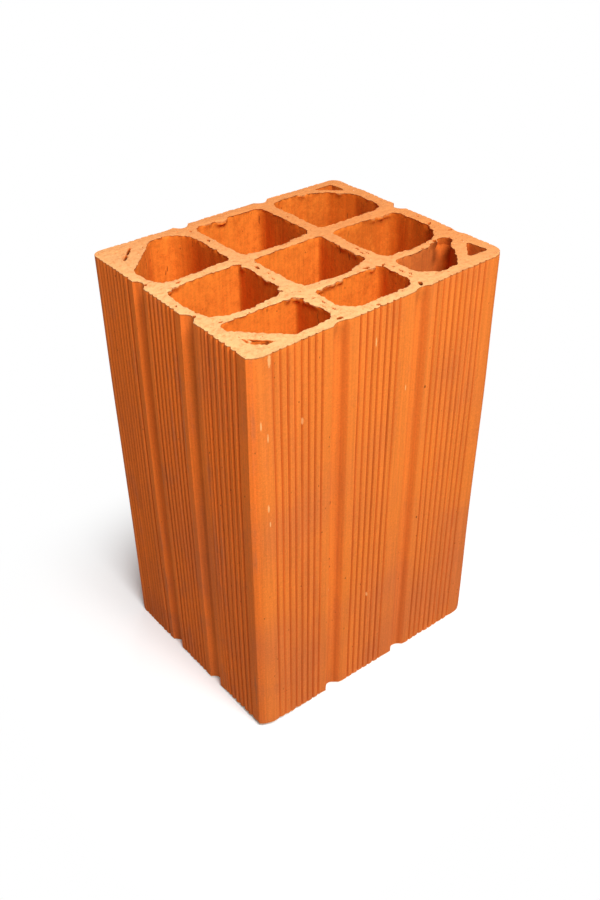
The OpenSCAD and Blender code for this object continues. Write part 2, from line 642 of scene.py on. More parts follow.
@dataclass(frozen=True)
class Hole:
    """A hole that runs through the brick: a polygon with a radius at each corner, seen from above."""

    name: str
    corners: tuple[tuple[float, float, float], ...]
    arc_points: int = 14

    def outline(self, count: int) -> Floats:
        """Work out the hole's outline with equal steps, clockwise seen from above.

        Each corner is an arc that touches both its edges; the arcs are joined by straight lines, and the
        whole line is then cut into equal lengths.

        Args:
            count: Number of places.

        Returns:
            Places with X and Y along the last axis.
        """
        data = np.array(self.corners)
        corner, radius = data[:, :2], data[:, 2]
        before = np.roll(corner, 1, axis=0) - corner
        after = np.roll(corner, -1, axis=0) - corner
        before /= np.linalg.norm(before, axis=1, keepdims=True)
        after /= np.linalg.norm(after, axis=1, keepdims=True)
        half = np.arccos(np.clip((before * after).sum(axis=1), -1.0, 1.0)) / 2
        middle = before + after
        middle /= np.linalg.norm(middle, axis=1, keepdims=True)
        centre = corner + middle * (radius / np.sin(half))[:, None]
        touch = (radius / np.tan(half))[:, None]
        start = corner + before * touch - centre
        end = corner + after * touch - centre
        first = np.arctan2(start[:, 1], start[:, 0])
        turn = np.arctan2(end[:, 1], end[:, 0]) - first
        turn = (turn + np.pi) % (2.0 * np.pi) - np.pi
        angle = first[:, None] + turn[:, None] * np.linspace(0.0, 1.0, self.arc_points)
        ray = np.stack([np.cos(angle), np.sin(angle)], axis=-1)
        arcs = centre[:, None, :] + radius[:, None, None] * ray
        line = arcs.reshape(-1, 2)
        line = np.concatenate([line, line[:1]])
        length = np.concatenate([[0.0], np.cumsum(np.linalg.norm(np.diff(line, axis=0), axis=1))])
        places = np.linspace(0.0, length[-1], count, endpoint=False)
        even = np.stack([np.interp(places, length, line[:, axis]) for axis in (0, 1)], axis=-1)
        turning = np.sum(even[:, 0] * np.roll(even[:, 1], -1) - np.roll(even[:, 0], -1) * even[:, 1])
        return even[::-1] if turning > 0 else even

    def inward(self, line: Floats) -> Floats:
        """Work out the directions from a clockwise outline into the hole: its tangent turned to the right.

        Args:
            line: The outline.

        Returns:
            A unit direction for each place.
        """
        along = np.roll(line, -1, axis=0) - np.roll(line, 1, axis=0)
        along /= np.linalg.norm(along, axis=1, keepdims=True)
        return np.stack([along[:, 1], -along[:, 0]], axis=-1)


@dataclass
class ClayShell:
    """Points, faces and marks of one closed mesh, gathered block by block.

    The marks of a point are: cut (1 on the cut ends), inner (1 on the walls of holes, up to 2 where they
    face left, which get painted shade) and the third, shade_and_crumbs (the share of painted shade in
    flutes, on groove flanks, in chips, pits and cracks, and of crumb colour beside cracks).
    """

    points: list[Floats] = field(default_factory=list)
    marks: list[Floats] = field(default_factory=list)
    faces: list[Ints] = field(default_factory=list)
    size: int = 0

    def add(
        self, points: Floats, cut: Floats | float, inner: Floats | float, shade_and_crumbs: Floats | float
    ) -> Ints:
        """Add a block of points.

        Args:
            points: Places with X, Y and Z along the last axis.
            cut: Share of cut end, for each point or for all.
            inner: 1 to 2 on the walls of holes, more where they face left, which get painted shade;
                otherwise 0, for each point or for all.
            shade_and_crumbs: Share of painted shade in a flute, on a groove flank, in a chip, pit or crack,
                or of crumb colour beside a crack, for each point or for all.

        Returns:
            The points' numbers, in the shape of the block.
        """
        shape = points.shape[:-1]
        values = np.stack(
            [np.broadcast_to(value, shape).ravel() for value in (cut, inner, shade_and_crumbs)], axis=-1
        ).astype(np.float64)
        numbers = self.size + np.arange(int(np.prod(shape))).reshape(shape)
        self.points.append(points.reshape(-1, 3))
        self.marks.append(values)
        self.size += numbers.size
        return numbers

    def skin(self, rows: Ints) -> None:
        """Close a grid of points round its columns with four-sided faces.

        Args:
            rows: Numbers of the points by row and column, rows running upwards.
        """
        right = np.roll(rows, -1, axis=1)
        quads = np.stack([rows[:-1], right[:-1], right[1:], rows[1:]], axis=-1)
        self.faces.append(quads.reshape(-1, 4))

    def narrow(self, fine: Ints, coarse: Ints) -> None:
        """Join a row to the row below it that has a third of its points, with four triangles to a step.

        Args:
            fine: Numbers of the upper row.
            coarse: Numbers of the lower row.
        """
        first, second, third = (fine[start::NARROWING] for start in range(NARROWING))
        fourth = np.roll(first, -1)
        after = np.roll(coarse, -1)
        for triple in (
            (coarse, second, first),
            (coarse, third, second),
            (coarse, after, third),
            (after, fourth, third),
        ):
            self.faces.append(np.stack(triple, axis=-1))

    def cap(self, ring: Ints, middle: int) -> None:
        """Close a ring with triangles to one middle point, facing back into the ring's hole."""
        self.faces.append(np.stack([ring, np.roll(ring, -1), np.full_like(ring, middle)], axis=-1))

    def place(self) -> Floats:
        """All points gathered so far."""
        return np.concatenate(self.points)


@dataclass(frozen=True)
class Lean:
    """How the fired brick departs from a true box.

    Each corner of the box has its own small move, shared out by the three shares of a point between the
    corners. The left side bows by a parabola with its top at half height. The lower end is worn in a bell
    curve round its front left corner, worn_reach wide as shares of the half sizes and of the height.
    """

    half: tuple[float, float, float] = (95.0, 77.5, 290.0)
    moves: Mapping[tuple[int, int, int], tuple[float, float, float]] = field(
        default_factory=lambda: {
            (-1, 1, 1): (-0.6, 1.0, 0.8),
            (-1, -1, 1): (0.0, -1.3, -1.0),
            (1, -1, 1): (0.8, 0.0, 0.8),
            (1, 1, 1): (-0.8, 0.2, -0.5),
            (-1, 1, 0): (0.1, -0.9, 0.0),
            (-1, -1, 0): (1.1, 2.3, 1.0),
            (1, -1, 0): (-0.7, -1.3, 0.0),
            (1, 1, 0): (-0.4, 0.2, 0.0),
        }
    )
    left_bow: float = 1.6
    worn_corner: float = 2.0
    worn_reach: tuple[float, float, float] = (0.3, 0.45, 0.05)

    def move(self, points: Floats) -> Floats:
        """Move points of the true box to where the fired brick has them.

        Args:
            points: Places with X, Y and Z along the last axis.

        Returns:
            The moved places.
        """
        u = points[:, 0] / self.half[0]
        v = points[:, 1] / self.half[1]
        w = points[:, 2] / self.half[2]
        moved = points.copy()
        for (i, j, k), shift in self.moves.items():
            share = (1 + i * u) / 2 * (1 + j * v) / 2 * (w if k else 1 - w)
            moved += share[:, None] * np.array(shift)
        moved[:, 1] += self.left_bow * 4.0 * w * (1.0 - w) * (1.0 - v * v) * (1.0 - u) / 2
        wide, deep, high = self.worn_reach
        near = np.exp(-(((1.0 + u) / wide) ** 2) - ((1.0 + v) / deep) ** 2 - (w / high) ** 2)
        moved[:, 2] += self.worn_corner * near
        return moved


@dataclass
class HollowBrick:
    """The fired brick: fluted outer skin, nine cells, four corner voids and two wire-cut ends."""

    half_w: float = 95.0
    half_d: float = 77.5
    height: float = 290.0
    edges: Mapping[Side, LongEdge] = field(
        default_factory=lambda: {
            Side.FRONT: LongEdge(11.0),
            Side.RIGHT: LongEdge(7.0),
            Side.BACK: LongEdge(6.5),
            Side.LEFT: LongEdge(11.5, 38.0),
        }
    )
    edge_points: int = 8
    cell_points: int = 96
    void_points: int = 36
    top_step: float = 0.9
    bottom_step: float = 2.2
    top_seed: int = 51
    bottom_seed: int = 52
    clog_depth: float = 250.0
    open_voids: int = 2
    near_rows: tuple[float, ...] = (0.0, 0.7, 1.6, 3.0, 5.0, 8.0, 12.0)
    middle_rows: tuple[float, int] = (20.0, 31)
    rim_rows: tuple[float, ...] = (0.0, 0.6, 1.3, 2.2, 3.4, 5.0, 7.4, 11.0)
    low_rows: tuple[float, ...] = (0.0, 1.2, 4.0, 9.0)
    wall_rows: tuple[float, float, int] = (20.0, 16.0, 14)
    void_end_rows: tuple[float, ...] = (0.0, 0.7, 1.6, 3.0, 6.0, 12.0)
    void_rows: tuple[float, int] = (24.0, 10)
    skin_waves: tuple[ClayNoise, ...] = (
        ClayNoise((42.0, 42.0, 95.0), 3, 0.55),
        ClayNoise((7.0, 7.0, 40.0), 4, 0.14),
    )
    edge_wear: float = 0.12
    edge_ragged: ClayNoise = ClayNoise((2.6, 2.6, 3.0), 5, 0.3)
    edge_bite: ClayNoise = ClayNoise((6.0, 6.0, 6.0), 6, 0.25)
    ragged_reach: float = 1.0
    bite_reach: float = 2.0
    wall_waves: tuple[ClayNoise, ...] = (
        ClayNoise((22.0, 22.0, 110.0), 21, 0.5),
        ClayNoise((8.0, 8.0, 900.0), 22, 0.4),
        ClayNoise((3.2, 3.2, 70.0), 23, 0.16),
    )
    rim_drop_fade: float = 4.0
    wall_waves_start: float = 3.0
    low_ragged: ClayNoise = ClayNoise((4.0, 4.0, 4.0), 25)
    low_ragged_height: float = 0.6
    void_ragged: ClayNoise = ClayNoise((2.4, 2.4, 2.4), 27, 0.5)
    void_waves_share: float = 0.35
    void_drop: float = 0.3
    ragged_fade: float = 2.0
    end_waves: tuple[ClayNoise, ...] = (
        ClayNoise((11.0, 11.0, 9.0), 61, 0.25),
        ClayNoise((14.0, 2.4, 9.0), 62, 0.10),
        ClayNoise((2.6, 2.6, 9.0), 63, 0.14),
        ClayNoise((1.3, 1.3, 9.0), 64, 0.14),
    )
    end_waves_start: float = 0.9
    rim_dip: float = 0.3
    rim_dip_reach: float = 0.7
    low_end_rise: float = 0.45
    scatter: float = 0.2
    rim_gap: float = 0.62
    own_gap: float = 0.45
    # Depth at which a pit's painted shade is full.
    dark_depth: float = 4.0
    pore_seed: int = 41
    pore_count: int = 190
    pore_reach: tuple[float, float] = (92.0, 75.0)
    pore_gap: float = 2.5
    pore_length: tuple[float, float] = (0.5, 1.0)
    pore_shape: tuple[float, float] = (0.5, 0.9)
    pore_depth: tuple[float, float] = (0.5, 1.3)
    lean: Lean = field(default_factory=Lean)
    shell: ClayShell = field(default_factory=ClayShell)

    def sides(self) -> tuple[FlutedSide, ...]:
        """Describe the four outer sides.

        Returns:
            The sides in the order in which the outline runs.
        """
        front = FlutedSide(
            Side.FRONT,
            self.half_w,
            self.half_d,
            (
                FluteBand(-80.6, -75.9, 2, 0.75, 0.9),
                FluteBand(-71.1, -47.4, 6),
                FluteBand(-21.0, -2.0, 5, 1.1),
                FluteBand(2.75, 2.75, 1, 1.6),
                FluteBand(7.5, 7.5, 1),
                FluteBand(37.4, 47.1, 3, 1.1),
                FluteBand(51.95, 56.8, 2, 1.3),
                FluteBand(61.65, 76.2, 4),
            ),
            (
                WideGroove(-35.2, 4.2, 5.4, 6.4, 0.5, 0.75),
                WideGroove(24.8, 3.7, 5.5, 6.3, 0.5, 0.75),
            ),
            flute_w=2.0,
            flute_d=1.15,
        )
        right = FlutedSide(
            Side.RIGHT,
            self.half_d,
            self.half_w,
            (FluteBand(-63.3, -46.5, 5), FluteBand(-28.1, 5.5, 9), FluteBand(24.6, 62.4, 10)),
            (WideGroove(-37.2, 3.6, closed=0.6), WideGroove(13.8, 4.4)),
        )
        back = FlutedSide(
            Side.BACK,
            self.half_w,
            self.half_d,
            (FluteBand(-79.8, -46.5, 8), FluteBand(-14.2, 14.2, 7), FluteBand(46.5, 79.8, 8)),
            (WideGroove(-31.5, 3.6), WideGroove(31.0, 3.6)),
        )
        left = FlutedSide(
            Side.LEFT,
            self.half_d,
            self.half_w,
            (
                FluteBand(-64.1, -39.9, 6, 2.1, 0.3),
                FluteBand(-36.6, -33.6, 2, 0.8, 0.4),
                FluteBand(-8.9, 11.5, 6, 1.6, 0.6),
                FluteBand(15.6, 15.6, 1, 1.7, 0.9),
                FluteBand(37.4, 37.4, 1, 2.4, 1.5),
                FluteBand(42.7, 67.9, 8, 1.2, 0.8),
            ),
            (WideGroove(-21.8, 4.3, 5.9, 5.9, 0.15, 0.1), WideGroove(25.8, 4.0, 5.8, 5.8, 0.15, 0.5)),
            flute_w=2.8,
            flute_d=0.85,
        )
        return front, right, back, left

    def cells(self) -> tuple[Hole, ...]:
        """Describe the nine cells.

        Returns:
            The cells, by the place and radius of each corner.
        """
        return (
            Hole(
                "back_left",
                ((-87.8, 41.2, 6.0), (-85.7, 17.4, 12.0), (-34.8, 20.1, 3.5), (-35.2, 70.3, 16.0),
                 (-57.5, 70.7, 8.0)),
            ),
            Hole(
                "back_middle",
                ((-27.6, 69.5, 6.0), (-26.2, 19.7, 5.0), (-0.9, 16.0, 80.0), (25.3, 20.6, 4.0),
                 (24.6, 69.6, 5.0)),
            ),
            Hole(
                "back_right",
                ((33.0, 70.5, 8.0), (33.7, 19.6, 4.0), (87.3, 18.9, 10.0), (86.8, 46.4, 6.0),
                 (75.7, 61.8, 12.0), (56.3, 70.6, 5.0)),
            ),
            Hole(
                "middle_left",
                ((-86.9, 12.4, 8.0), (-88.7, -11.8, 50.0), (-83.6, -32.2, 12.0), (-61.5, -34.2, 60.0),
                 (-34.5, -31.3, 5.0), (-34.5, 12.5, 2.5)),
            ),
            Hole(
                "middle_middle",
                ((-26.3, 11.5, 4.5), (-24.8, -32.1, 5.0), (0.6, -37.9, 50.0), (26.0, -30.6, 6.0),
                 (25.5, 11.8, 2.5)),
            ),
            Hole(
                "middle_right",
                ((33.7, 11.2, 5.0), (34.7, -34.2, 6.0), (60.4, -38.9, 40.0), (80.2, -32.7, 14.0),
                 (87.1, -20.4, 16.0), (86.6, 11.3, 8.0)),
            ),
            Hole(
                "front_left",
                ((-85.8, -38.3, 4.0), (-86.6, -44.5, 4.0), (-61.4, -70.4, 8.0), (-32.2, -70.3, 8.0),
                 (-33.6, -38.7, 2.5)),
            ),
            Hole(
                "front_middle",
                ((-24.2, -40.3, 5.0), (-23.8, -61.8, 6.0), (-16.1, -70.2, 6.0), (26.3, -70.3, 8.0),
                 (26.6, -40.6, 4.0)),
            ),
            Hole(
                "front_right",
                ((35.5, -42.2, 3.5), (35.8, -59.6, 8.0), (45.9, -69.7, 8.0), (60.9, -69.9, 8.0),
                 (86.6, -38.6, 4.0), (58.0, -43.2, 30.0)),
            ),
        )

    def voids(self) -> tuple[Hole, ...]:
        """Describe the three-sided voids in the corners.

        Returns:
            The voids that are open at both ends, then those that are clogged at the upper end.
        """
        return (
            Hole("back_right_void", ((69.6, 71.0, 1.0), (86.4, 57.0, 1.2), (86.2, 71.0, 1.6))),
            Hole("front_right_void", ((86.4, -51.8, 1.2), (72.4, -66.7, 1.4), (88.3, -67.6, 1.6))),
            Hole("back_left_void", ((-71.9, 69.7, 1.2), (-85.0, 69.7, 1.6), (-85.0, 55.9, 1.2))),
            Hole("front_left_void", ((-85.6, -56.8, 1.2), (-85.6, -69.7, 1.6), (-72.0, -69.6, 1.2))),
        )

    def burrs(self) -> tuple[RimBurr, ...]:
        """Describe the torn places on the upper rims.

        Returns:
            Torn places and chips, then smooth lumps.
        """
        torn = (
            RimBurr(75.5, 11.3, 9.5, 1.7, 2.2),
            RimBurr(-12.0, -40.3, 8.0, 1.4, 1.6, 0.3),
            RimBurr(-6.4, 69.6, 4.4, 1.9, 2.2, 0.2),
            RimBurr(-16.3, 69.5, 3.0, 0.8, 1.2),
            RimBurr(-79.7, 11.9, 6.0, 1.0, 1.4),
            RimBurr(74.5, -40.4, 2.0, 1.0, 2.4),
            RimBurr(80.0, -39.6, 5.5, -4.6, 6.0),
            RimBurr(70.8, -41.0, 3.6, -1.6, 4.0),
            RimBurr(80.5, -51.5, 7.0, 1.2, 1.4),
            RimBurr(79.7, 57.3, 4.0, 0.8, 1.4),
            RimBurr(58.8, 69.2, 3.0, 1.0, 1.4),
            RimBurr(16.5, -33.6, 7.0, 1.0, 1.2),
            RimBurr(25.7, -19.6, 3.0, 0.8, 1.4),
            RimBurr(-77.7, 18.3, 3.4, 0.8, 1.4),
            RimBurr(86.5, -18.4, 3.0, -0.8, 1.4),
            RimBurr(45.9, -69.6, 4.0, 0.8, 1.4),
            RimBurr(26.0, -10.0, 6.0, 1.0, 1.0),
            RimBurr(-34.6, -12.0, 7.0, 0.9, 1.0),
            RimBurr(-33.5, -52.0, 5.0, 1.0, 1.2),
        )
        lumps = (
            RimBurr(-34.8, -27.4, 2.4, 2.6, 2.2, 0.6, False),
            RimBurr(-38.4, -31.8, 1.8, 1.4, 1.6, 0.4, False),
            RimBurr(-34.6, 8.4, 1.6, 1.3, 1.8, 0.4, False),
            RimBurr(-34.4, -39.8, 3.0, 1.7, 2.0, 0.6, False),
            RimBurr(-39.8, -38.6, 1.7, 1.2, 1.6, 0.4, False),
            RimBurr(-33.6, -46.8, 1.6, 1.5, 1.6, 0.4, False),
            RimBurr(20.6, -40.6, 2.2, 1.7, 1.8, 0.6, False),
            RimBurr(-83.4, 11.0, 1.9, 1.3, 1.6, 0.5, False),
            RimBurr(-18.4, -40.3, 1.6, 1.5, 1.6, 0.4, False),
            RimBurr(-3.6, -40.3, 1.8, 1.3, 1.4, 0.4, False),
        )
        return torn + lumps

    def pits(self) -> tuple[Pit, ...]:
        """Describe the holes in the upper end.

        Returns:
            The larger holes and torn places, then many small pores.
        """
        seen = (
            Pit(27.6, -72.3, 2.6, 1.3, 60.0, 5.0),
            Pit(-32.2, -72.7, 2.2, 1.4, 5.0, 5.0),
            Pit(-7.0, -75.2, 1.5, 1.0, 0.0, 2.4),
            Pit(-30.5, 48.7, 1.7, 0.9, 80.0, 3.0),
            Pit(-30.0, 1.3, 2.8, 1.1, 78.0, 3.0),
            Pit(17.4, -38.8, 2.4, 1.1, -25.0, 3.0),
            Pit(28.0, -42.0, 1.6, 1.1, 30.0, 3.0),
            Pit(73.3, -38.4, 1.9, 1.1, 25.0, 3.0),
            Pit(30.8, -16.4, 3.2, 0.45, 86.0, 1.4),
            Pit(29.2, -22.6, 3.6, 0.45, 88.0, 1.5),
            Pit(31.6, -24.8, 2.4, 0.4, 85.0, 1.2),
            Pit(30.2, -55.0, 3.4, 0.45, 88.0, 1.4),
            Pit(31.8, -60.6, 2.6, 0.4, 86.0, 1.2),
            Pit(29.2, -62.4, 1.8, 0.4, 88.0, 1.0),
            Pit(-27.4, -53.8, 3.2, 0.45, 84.0, 1.4),
            Pit(-30.4, -56.6, 2.8, 0.4, 88.0, 1.2),
            Pit(-29.4, -8.6, 2.8, 0.4, 86.0, 1.2),
            Pit(-31.4, -15.2, 2.2, 0.4, 88.0, 1.0),
            Pit(91.6, -6.0, 1.5, 0.7, 80.0, 1.5),
            Pit(28.4, 45.8, 1.5, 0.7, 80.0, 1.4),
            Pit(-31.4, 66.4, 1.5, 0.7, 85.0, 1.4),
            Pit(-91.6, -7.5, 1.3, 0.7, 80.0, 1.6),
            Pit(30.3, -47.6, 1.5, 0.8, 80.0, 2.0),
            Pit(-28.7, -47.4, 1.4, 0.9, 0.0, 2.0),
            Pit(-27.8, -62.8, 2.0, 0.6, 85.0, 1.6),
            Pit(92.1, -33.4, 1.6, 1.0, 0.0, 2.2),
            Pit(89.5, -18.4, 1.6, 0.9, 40.0, 2.2),
            Pit(-75.3, 14.7, 2.0, 1.0, 10.0, 1.8),
            Pit(-82.8, -36.0, 1.4, 1.0, 0.0, 2.4),
            Pit(60.5, -41.3, 1.2, 0.8, 0.0, 2.0),
            Pit(-91.7, 23.4, 1.8, 1.2, 10.0, 4.0),
            Pit(-91.3, -23.0, 2.2, 1.3, 20.0, 4.0),
        )
        return seen + self.pores(seen)

    def pores(self, seen: Sequence[Pit]) -> tuple[Pit, ...]:
        """Scatter small pores with a fixed seed.

        Args:
            seen: Larger holes, which the pores keep clear of.

        Returns:
            The pores.
        """
        rng = np.random.default_rng(self.pore_seed)
        count = self.pore_count
        x, y = (rng.uniform(-reach, reach, count) for reach in self.pore_reach)
        long = rng.uniform(*self.pore_length, count)
        wide = long * rng.uniform(*self.pore_shape, count)
        angle = rng.uniform(0.0, HALF_TURN, count)
        deep = rng.uniform(*self.pore_depth, count)
        spaced = np.ones(count, dtype=bool)
        for one in seen:
            spaced &= np.hypot(x - one.x, y - one.y) > one.half_length + self.pore_gap
        rows = np.stack([x, y, long, wide, angle, deep], axis=-1)[spaced]
        return tuple(Pit(*row) for row in rows.tolist())

    def rows(self) -> Floats:
        """Choose heights of the outer skin's rows: close together near the ends, evenly spaced between.

        Returns:
            Rising heights.
        """
        near = np.array(self.near_rows)
        first, count = self.middle_rows
        middle = np.linspace(first, self.height - first, count)
        return np.concatenate([near, middle, self.height - near[::-1]])

    def outer_skin(self) -> tuple[Ints, Ints]:
        """Build the fluted outer skin: the outline's columns by rows of height.

        A side's columns lie on its plane, set back by the depth of flutes and grooves; a corner's columns
        lie on its arc. Slow waves move every point along its normal, and the edges at both ends are worn
        back and ragged.

        Returns:
            Numbers of the lowest and the highest row.
        """
        rows = self.rows()
        blocks: list[Floats] = []
        normals: list[Floats] = []
        shade_blocks: list[Floats] = []
        sides = self.sides()
        for before, side in zip((sides[-1], *sides[:-1]), sides):
            edge = self.edges[side.side]
            reach = side.half_length - edge.used_before()
            along = side.columns(self.edges[before.side].used_after() - side.half_length, reach)
            depth, shade_and_crumbs = side.depth(along, rows, self.height)
            flat = side.side.along * along[:, None] + side.side.out * side.half_depth
            blocks.append(flat[None, :, :] - side.side.out * depth[..., None])
            normals.append(np.broadcast_to(side.side.out, (len(along), 2)))
            shade_blocks.append(shade_and_crumbs)
            turn = np.linspace(math.radians(edge.arris), np.pi / 2, self.edge_points)[1:-1, None]
            ray = side.side.out * np.cos(turn) + side.side.along * np.sin(turn)
            centre = side.side.along * (side.half_length - edge.radius)
            centre = centre + side.side.out * (side.half_depth - edge.used_after())
            arc = centre + edge.radius * ray
            blocks.append(np.broadcast_to(arc, (len(rows), *arc.shape)))
            normals.append(ray)
            shade_blocks.append(np.zeros((len(rows), len(arc))))
        normal = np.concatenate(normals)
        shade_and_crumbs = np.concatenate(shade_blocks, axis=1)
        points = raised(np.concatenate(blocks, axis=1), rows[:, None])
        wave = waves(self.skin_waves, points)
        end = np.minimum(rows, self.height - rows)[:, None]
        ragged = self.edge_wear + self.edge_ragged.at(points)
        wave -= ragged * np.exp(-((end / self.ragged_reach) ** 2))
        points[..., :2] += normal * wave[..., None]
        bite = self.edge_wear + self.edge_bite.at(points)
        upwards = np.where(rows[:, None] < self.height / 2, 1.0, -1.0)
        points[..., 2] += upwards * np.exp(-((end / self.bite_reach) ** 2)) * bite
        points[0, :, 2] = np.maximum(points[0, :, 2], 0.0)
        cut = on_end(end)
        # On the skin the third mark is the painted shade of flutes and groove flanks, and none on the cut
        # ends.
        numbers = self.shell.add(points, cut, 0.0, np.clip(shade_and_crumbs, 0.0, 1.0) * (1.0 - cut))
        self.shell.skin(numbers)
        return numbers[0], numbers[-1]

    def wall_relief(self, points: Floats) -> Floats:
        """Waves of a hole's wall: slow dents, upright creases that run its whole length, and fine ribs."""
        return waves(self.wall_waves, points)

    def cell_wall(self, cell: Hole) -> tuple[Ints, Ints]:
        """Build a cell's wall: a fine strip under the torn rim, joined to a coarser strip below it.

        Args:
            cell: The cell.

        Returns:
            Numbers of the lowest and the highest ring.
        """
        below = np.array(self.rim_rows)
        line = cell.outline(NARROWING * self.cell_points)
        inward = cell.inward(line)
        plan, drop, cut, chip_shade = TornRim(self.burrs()).shape(line, inward, below)
        fade = np.exp(-below / self.rim_drop_fade)[:, None]
        fine = raised(plan, self.height - below[:, None] - drop[None, :] * fade)
        start = (1 - np.exp(-below / self.wall_waves_start))[:, None]
        fine[..., :2] += inward * (self.wall_relief(fine) * start)[..., None]
        first, last, count = self.wall_rows
        levels = np.concatenate([self.low_rows, np.linspace(first, self.height - last, count)])
        coarse = stacked(line[::NARROWING], levels)
        ragged = self.low_ragged.at(coarse) * np.exp(-levels / self.ragged_fade)[:, None]
        move = self.wall_relief(coarse) + ragged * self.low_ragged_height
        coarse[..., :2] += inward[::NARROWING] * move[..., None]
        # inner rises towards 2 on walls that face left, where the finish paints shade.
        facing = 1.0 + np.clip(-inward[:, 0], 0.0, 1.0)
        low = self.shell.add(coarse, on_end(levels)[:, None], facing[::NARROWING], 0.0)
        # The wall's third mark is the painted shade in deep chips.
        high = self.shell.add(fine[::-1], cut[::-1], facing, chip_shade[::-1])
        self.shell.skin(low)
        self.shell.narrow(high[0], low[-1])
        self.shell.skin(high)
        return low[0], high[-1]

    def void_wall(self, void: Hole, clogged: bool) -> tuple[Ints, Ints | None]:
        """Build a corner void's wall, closed below a plug of clay where it is clogged.

        Args:
            void: The void.
            clogged: Whether clay fills its upper end.

        Returns:
            Numbers of the lowest ring, and of the highest where the void is open there.
        """
        line = void.outline(self.void_points)
        inward = void.inward(line)
        near = np.array(self.void_end_rows)
        first, count = self.void_rows
        top = self.clog_depth if clogged else self.height
        levels = np.concatenate([near, np.linspace(first, top - first, count), top - near[::-1]])
        points = stacked(line, levels)
        end = np.minimum(levels, top - levels)[:, None]
        ragged = self.void_ragged.at(points) * np.exp(-end / self.ragged_fade)
        move = self.void_waves_share * self.wall_relief(points) + ragged
        points[..., :2] += inward * move[..., None]
        points[-1, :, 2] -= self.void_drop
        numbers = self.shell.add(points, on_end(end), 1.0, 0.0)
        self.shell.skin(numbers)
        if not clogged:
            return numbers[0], numbers[-1]
        middle = self.shell.add(points[-1].mean(axis=0)[None], 0.0, 1.0, 0.0)
        self.shell.cap(numbers[-1], int(middle[0]))
        return numbers[0], None

    def clogs(self) -> tuple[Clog, ...]:
        """Describe the plugs of the two clogged voids.

        Returns:
            The plug at the back, then the one at the front.
        """
        return (
            Clog(((-71.9, 69.7), (-85.0, 69.7), (-85.0, 55.9)), 0.35, 4.0, 0.26, 0.3, 65),
            Clog(((-85.6, -56.8), (-85.6, -69.7), (-72.0, -69.6)), 0.8, 1.0, 0.22, 0.8, 75),
        )

    def end_grid(self, step: float, rim: Floats, seed: int) -> Floats:
        """Spread points over an end in staggered rows with a little scatter, clear of the rims.

        Args:
            step: Distance between neighbours.
            rim: Places on the rims.
            seed: Seed of the scatter.

        Returns:
            Places with X and Y along the last axis.
        """
        across = np.arange(-self.half_w, self.half_w, step)
        up = np.arange(-self.half_d, self.half_d, step * ROW_HEIGHT)
        x, y = np.meshgrid(across, up)
        x = x + np.where(np.arange(len(up)) % 2 == 0, 0.0, step / 2)[:, None]
        most = self.scatter * step
        moves = np.random.default_rng(seed).uniform(-most, most, (*x.shape, 2))
        plan = (np.stack([x, y], axis=-1) + moves).reshape(-1, 2)
        return plan[self.to_rim(plan, rim) > self.rim_gap * step]

    def to_rim(self, plan: Floats, rim: Floats, block: int = 1500) -> Floats:
        """Measure from each place to the nearest place on a rim.

        Args:
            plan: The places.
            rim: Places on the rims.
            block: Number of places worked out at a time.

        Returns:
            The distances.
        """
        parts = np.array_split(plan, max(1, len(plan) // block))
        square = [((part[:, None, :] - rim[None]) ** 2).sum(axis=-1).min(axis=1) for part in parts]
        return np.sqrt(np.concatenate(square))

    def triangles(self, plan: Floats, loops: Sequence[Ints]) -> Ints:
        """Join an end's points by triangles that keep to the clay.

        The rims are held as edges of the triangulation, and triangles inside a hole are left out.

        Args:
            plan: All places, those of the rims first.
            loops: Numbers of the places of each rim, the outer one first.

        Returns:
            Numbers of three places to a triangle.
        """
        result = delaunay_2d_cdt(
            [Vector(place) for place in plan.tolist()],
            [],
            [loop.tolist() for loop in loops],
            CDT_INSIDE,
            CDT_MERGE,
        )
        source = np.array([numbers[0] for numbers in result[3]])
        clay = np.array([numbers == [0] for numbers in result[5]])
        return source[np.array(result[2])[clay]]

    def upper_points(self, rim: Floats, pits: Sequence[Pit]) -> Floats:
        """Choose the upper end's places between its rims: an even grid, closer round pits and plugs.

        Args:
            rim: Places on the rims.
            pits: The pits.

        Returns:
            Places with X and Y along the last axis.
        """
        clogs = self.clogs()
        plan = self.end_grid(self.top_step, rim, self.top_seed)
        for pit in pits:
            plan = plan[pit.clear(plan, self.top_step)]
        for clog in clogs:
            plan = plan[~clog.near(plan)]
        rings = np.concatenate([pit.rings() for pit in pits])
        rings = rings[~np.any([clog.holds(rings) for clog in clogs], axis=0)]
        own = np.concatenate([rings, *(clog.points() for clog in clogs)])
        return np.concatenate([plan, own[self.to_rim(own, rim) > self.own_gap]])

    def end_relief(self, plan: Floats, rim: Floats) -> Floats:
        """Work out a cut end's relief: slow waves, drag ridges and torn grain, and a dip towards the rims.

        Args:
            plan: Places with X and Y along the last axis.
            rim: Places on the rims.

        Returns:
            Height of each place above the plain cut.
        """
        away = self.to_rim(plan, rim)
        relief = waves(self.end_waves, raised(plan))
        dip = self.rim_dip * np.exp(-away / self.rim_dip_reach)
        return relief * (1.0 - np.exp(-away / self.end_waves_start)) - dip

    def upper_hollows(self, plan: Floats, pits: Sequence[Pit]) -> tuple[Floats, Floats]:
        """Work out how far pits sink in and how much lower the plugs of clogged voids lie.

        Args:
            plan: Places with X and Y along the last axis.
            pits: The pits.

        Returns:
            Depth of each place, and its share of painted shade in pits and cracks and of crumb colour
            beside cracks.
        """
        sink = np.zeros(len(plan))
        dark = np.zeros(len(plan))
        for pit in pits:
            drop = pit.drop(plan)
            sink = np.maximum(sink, drop)
            # Pits get painted shade by their depth.
            dark = np.maximum(dark, np.clip(drop / self.dark_depth, 0.0, 1.0))
        for clog in self.clogs():
            drop, crack = clog.drop(plan)
            sink = np.maximum(sink, drop)
            dark = np.maximum(dark, crack)
        return sink, dark

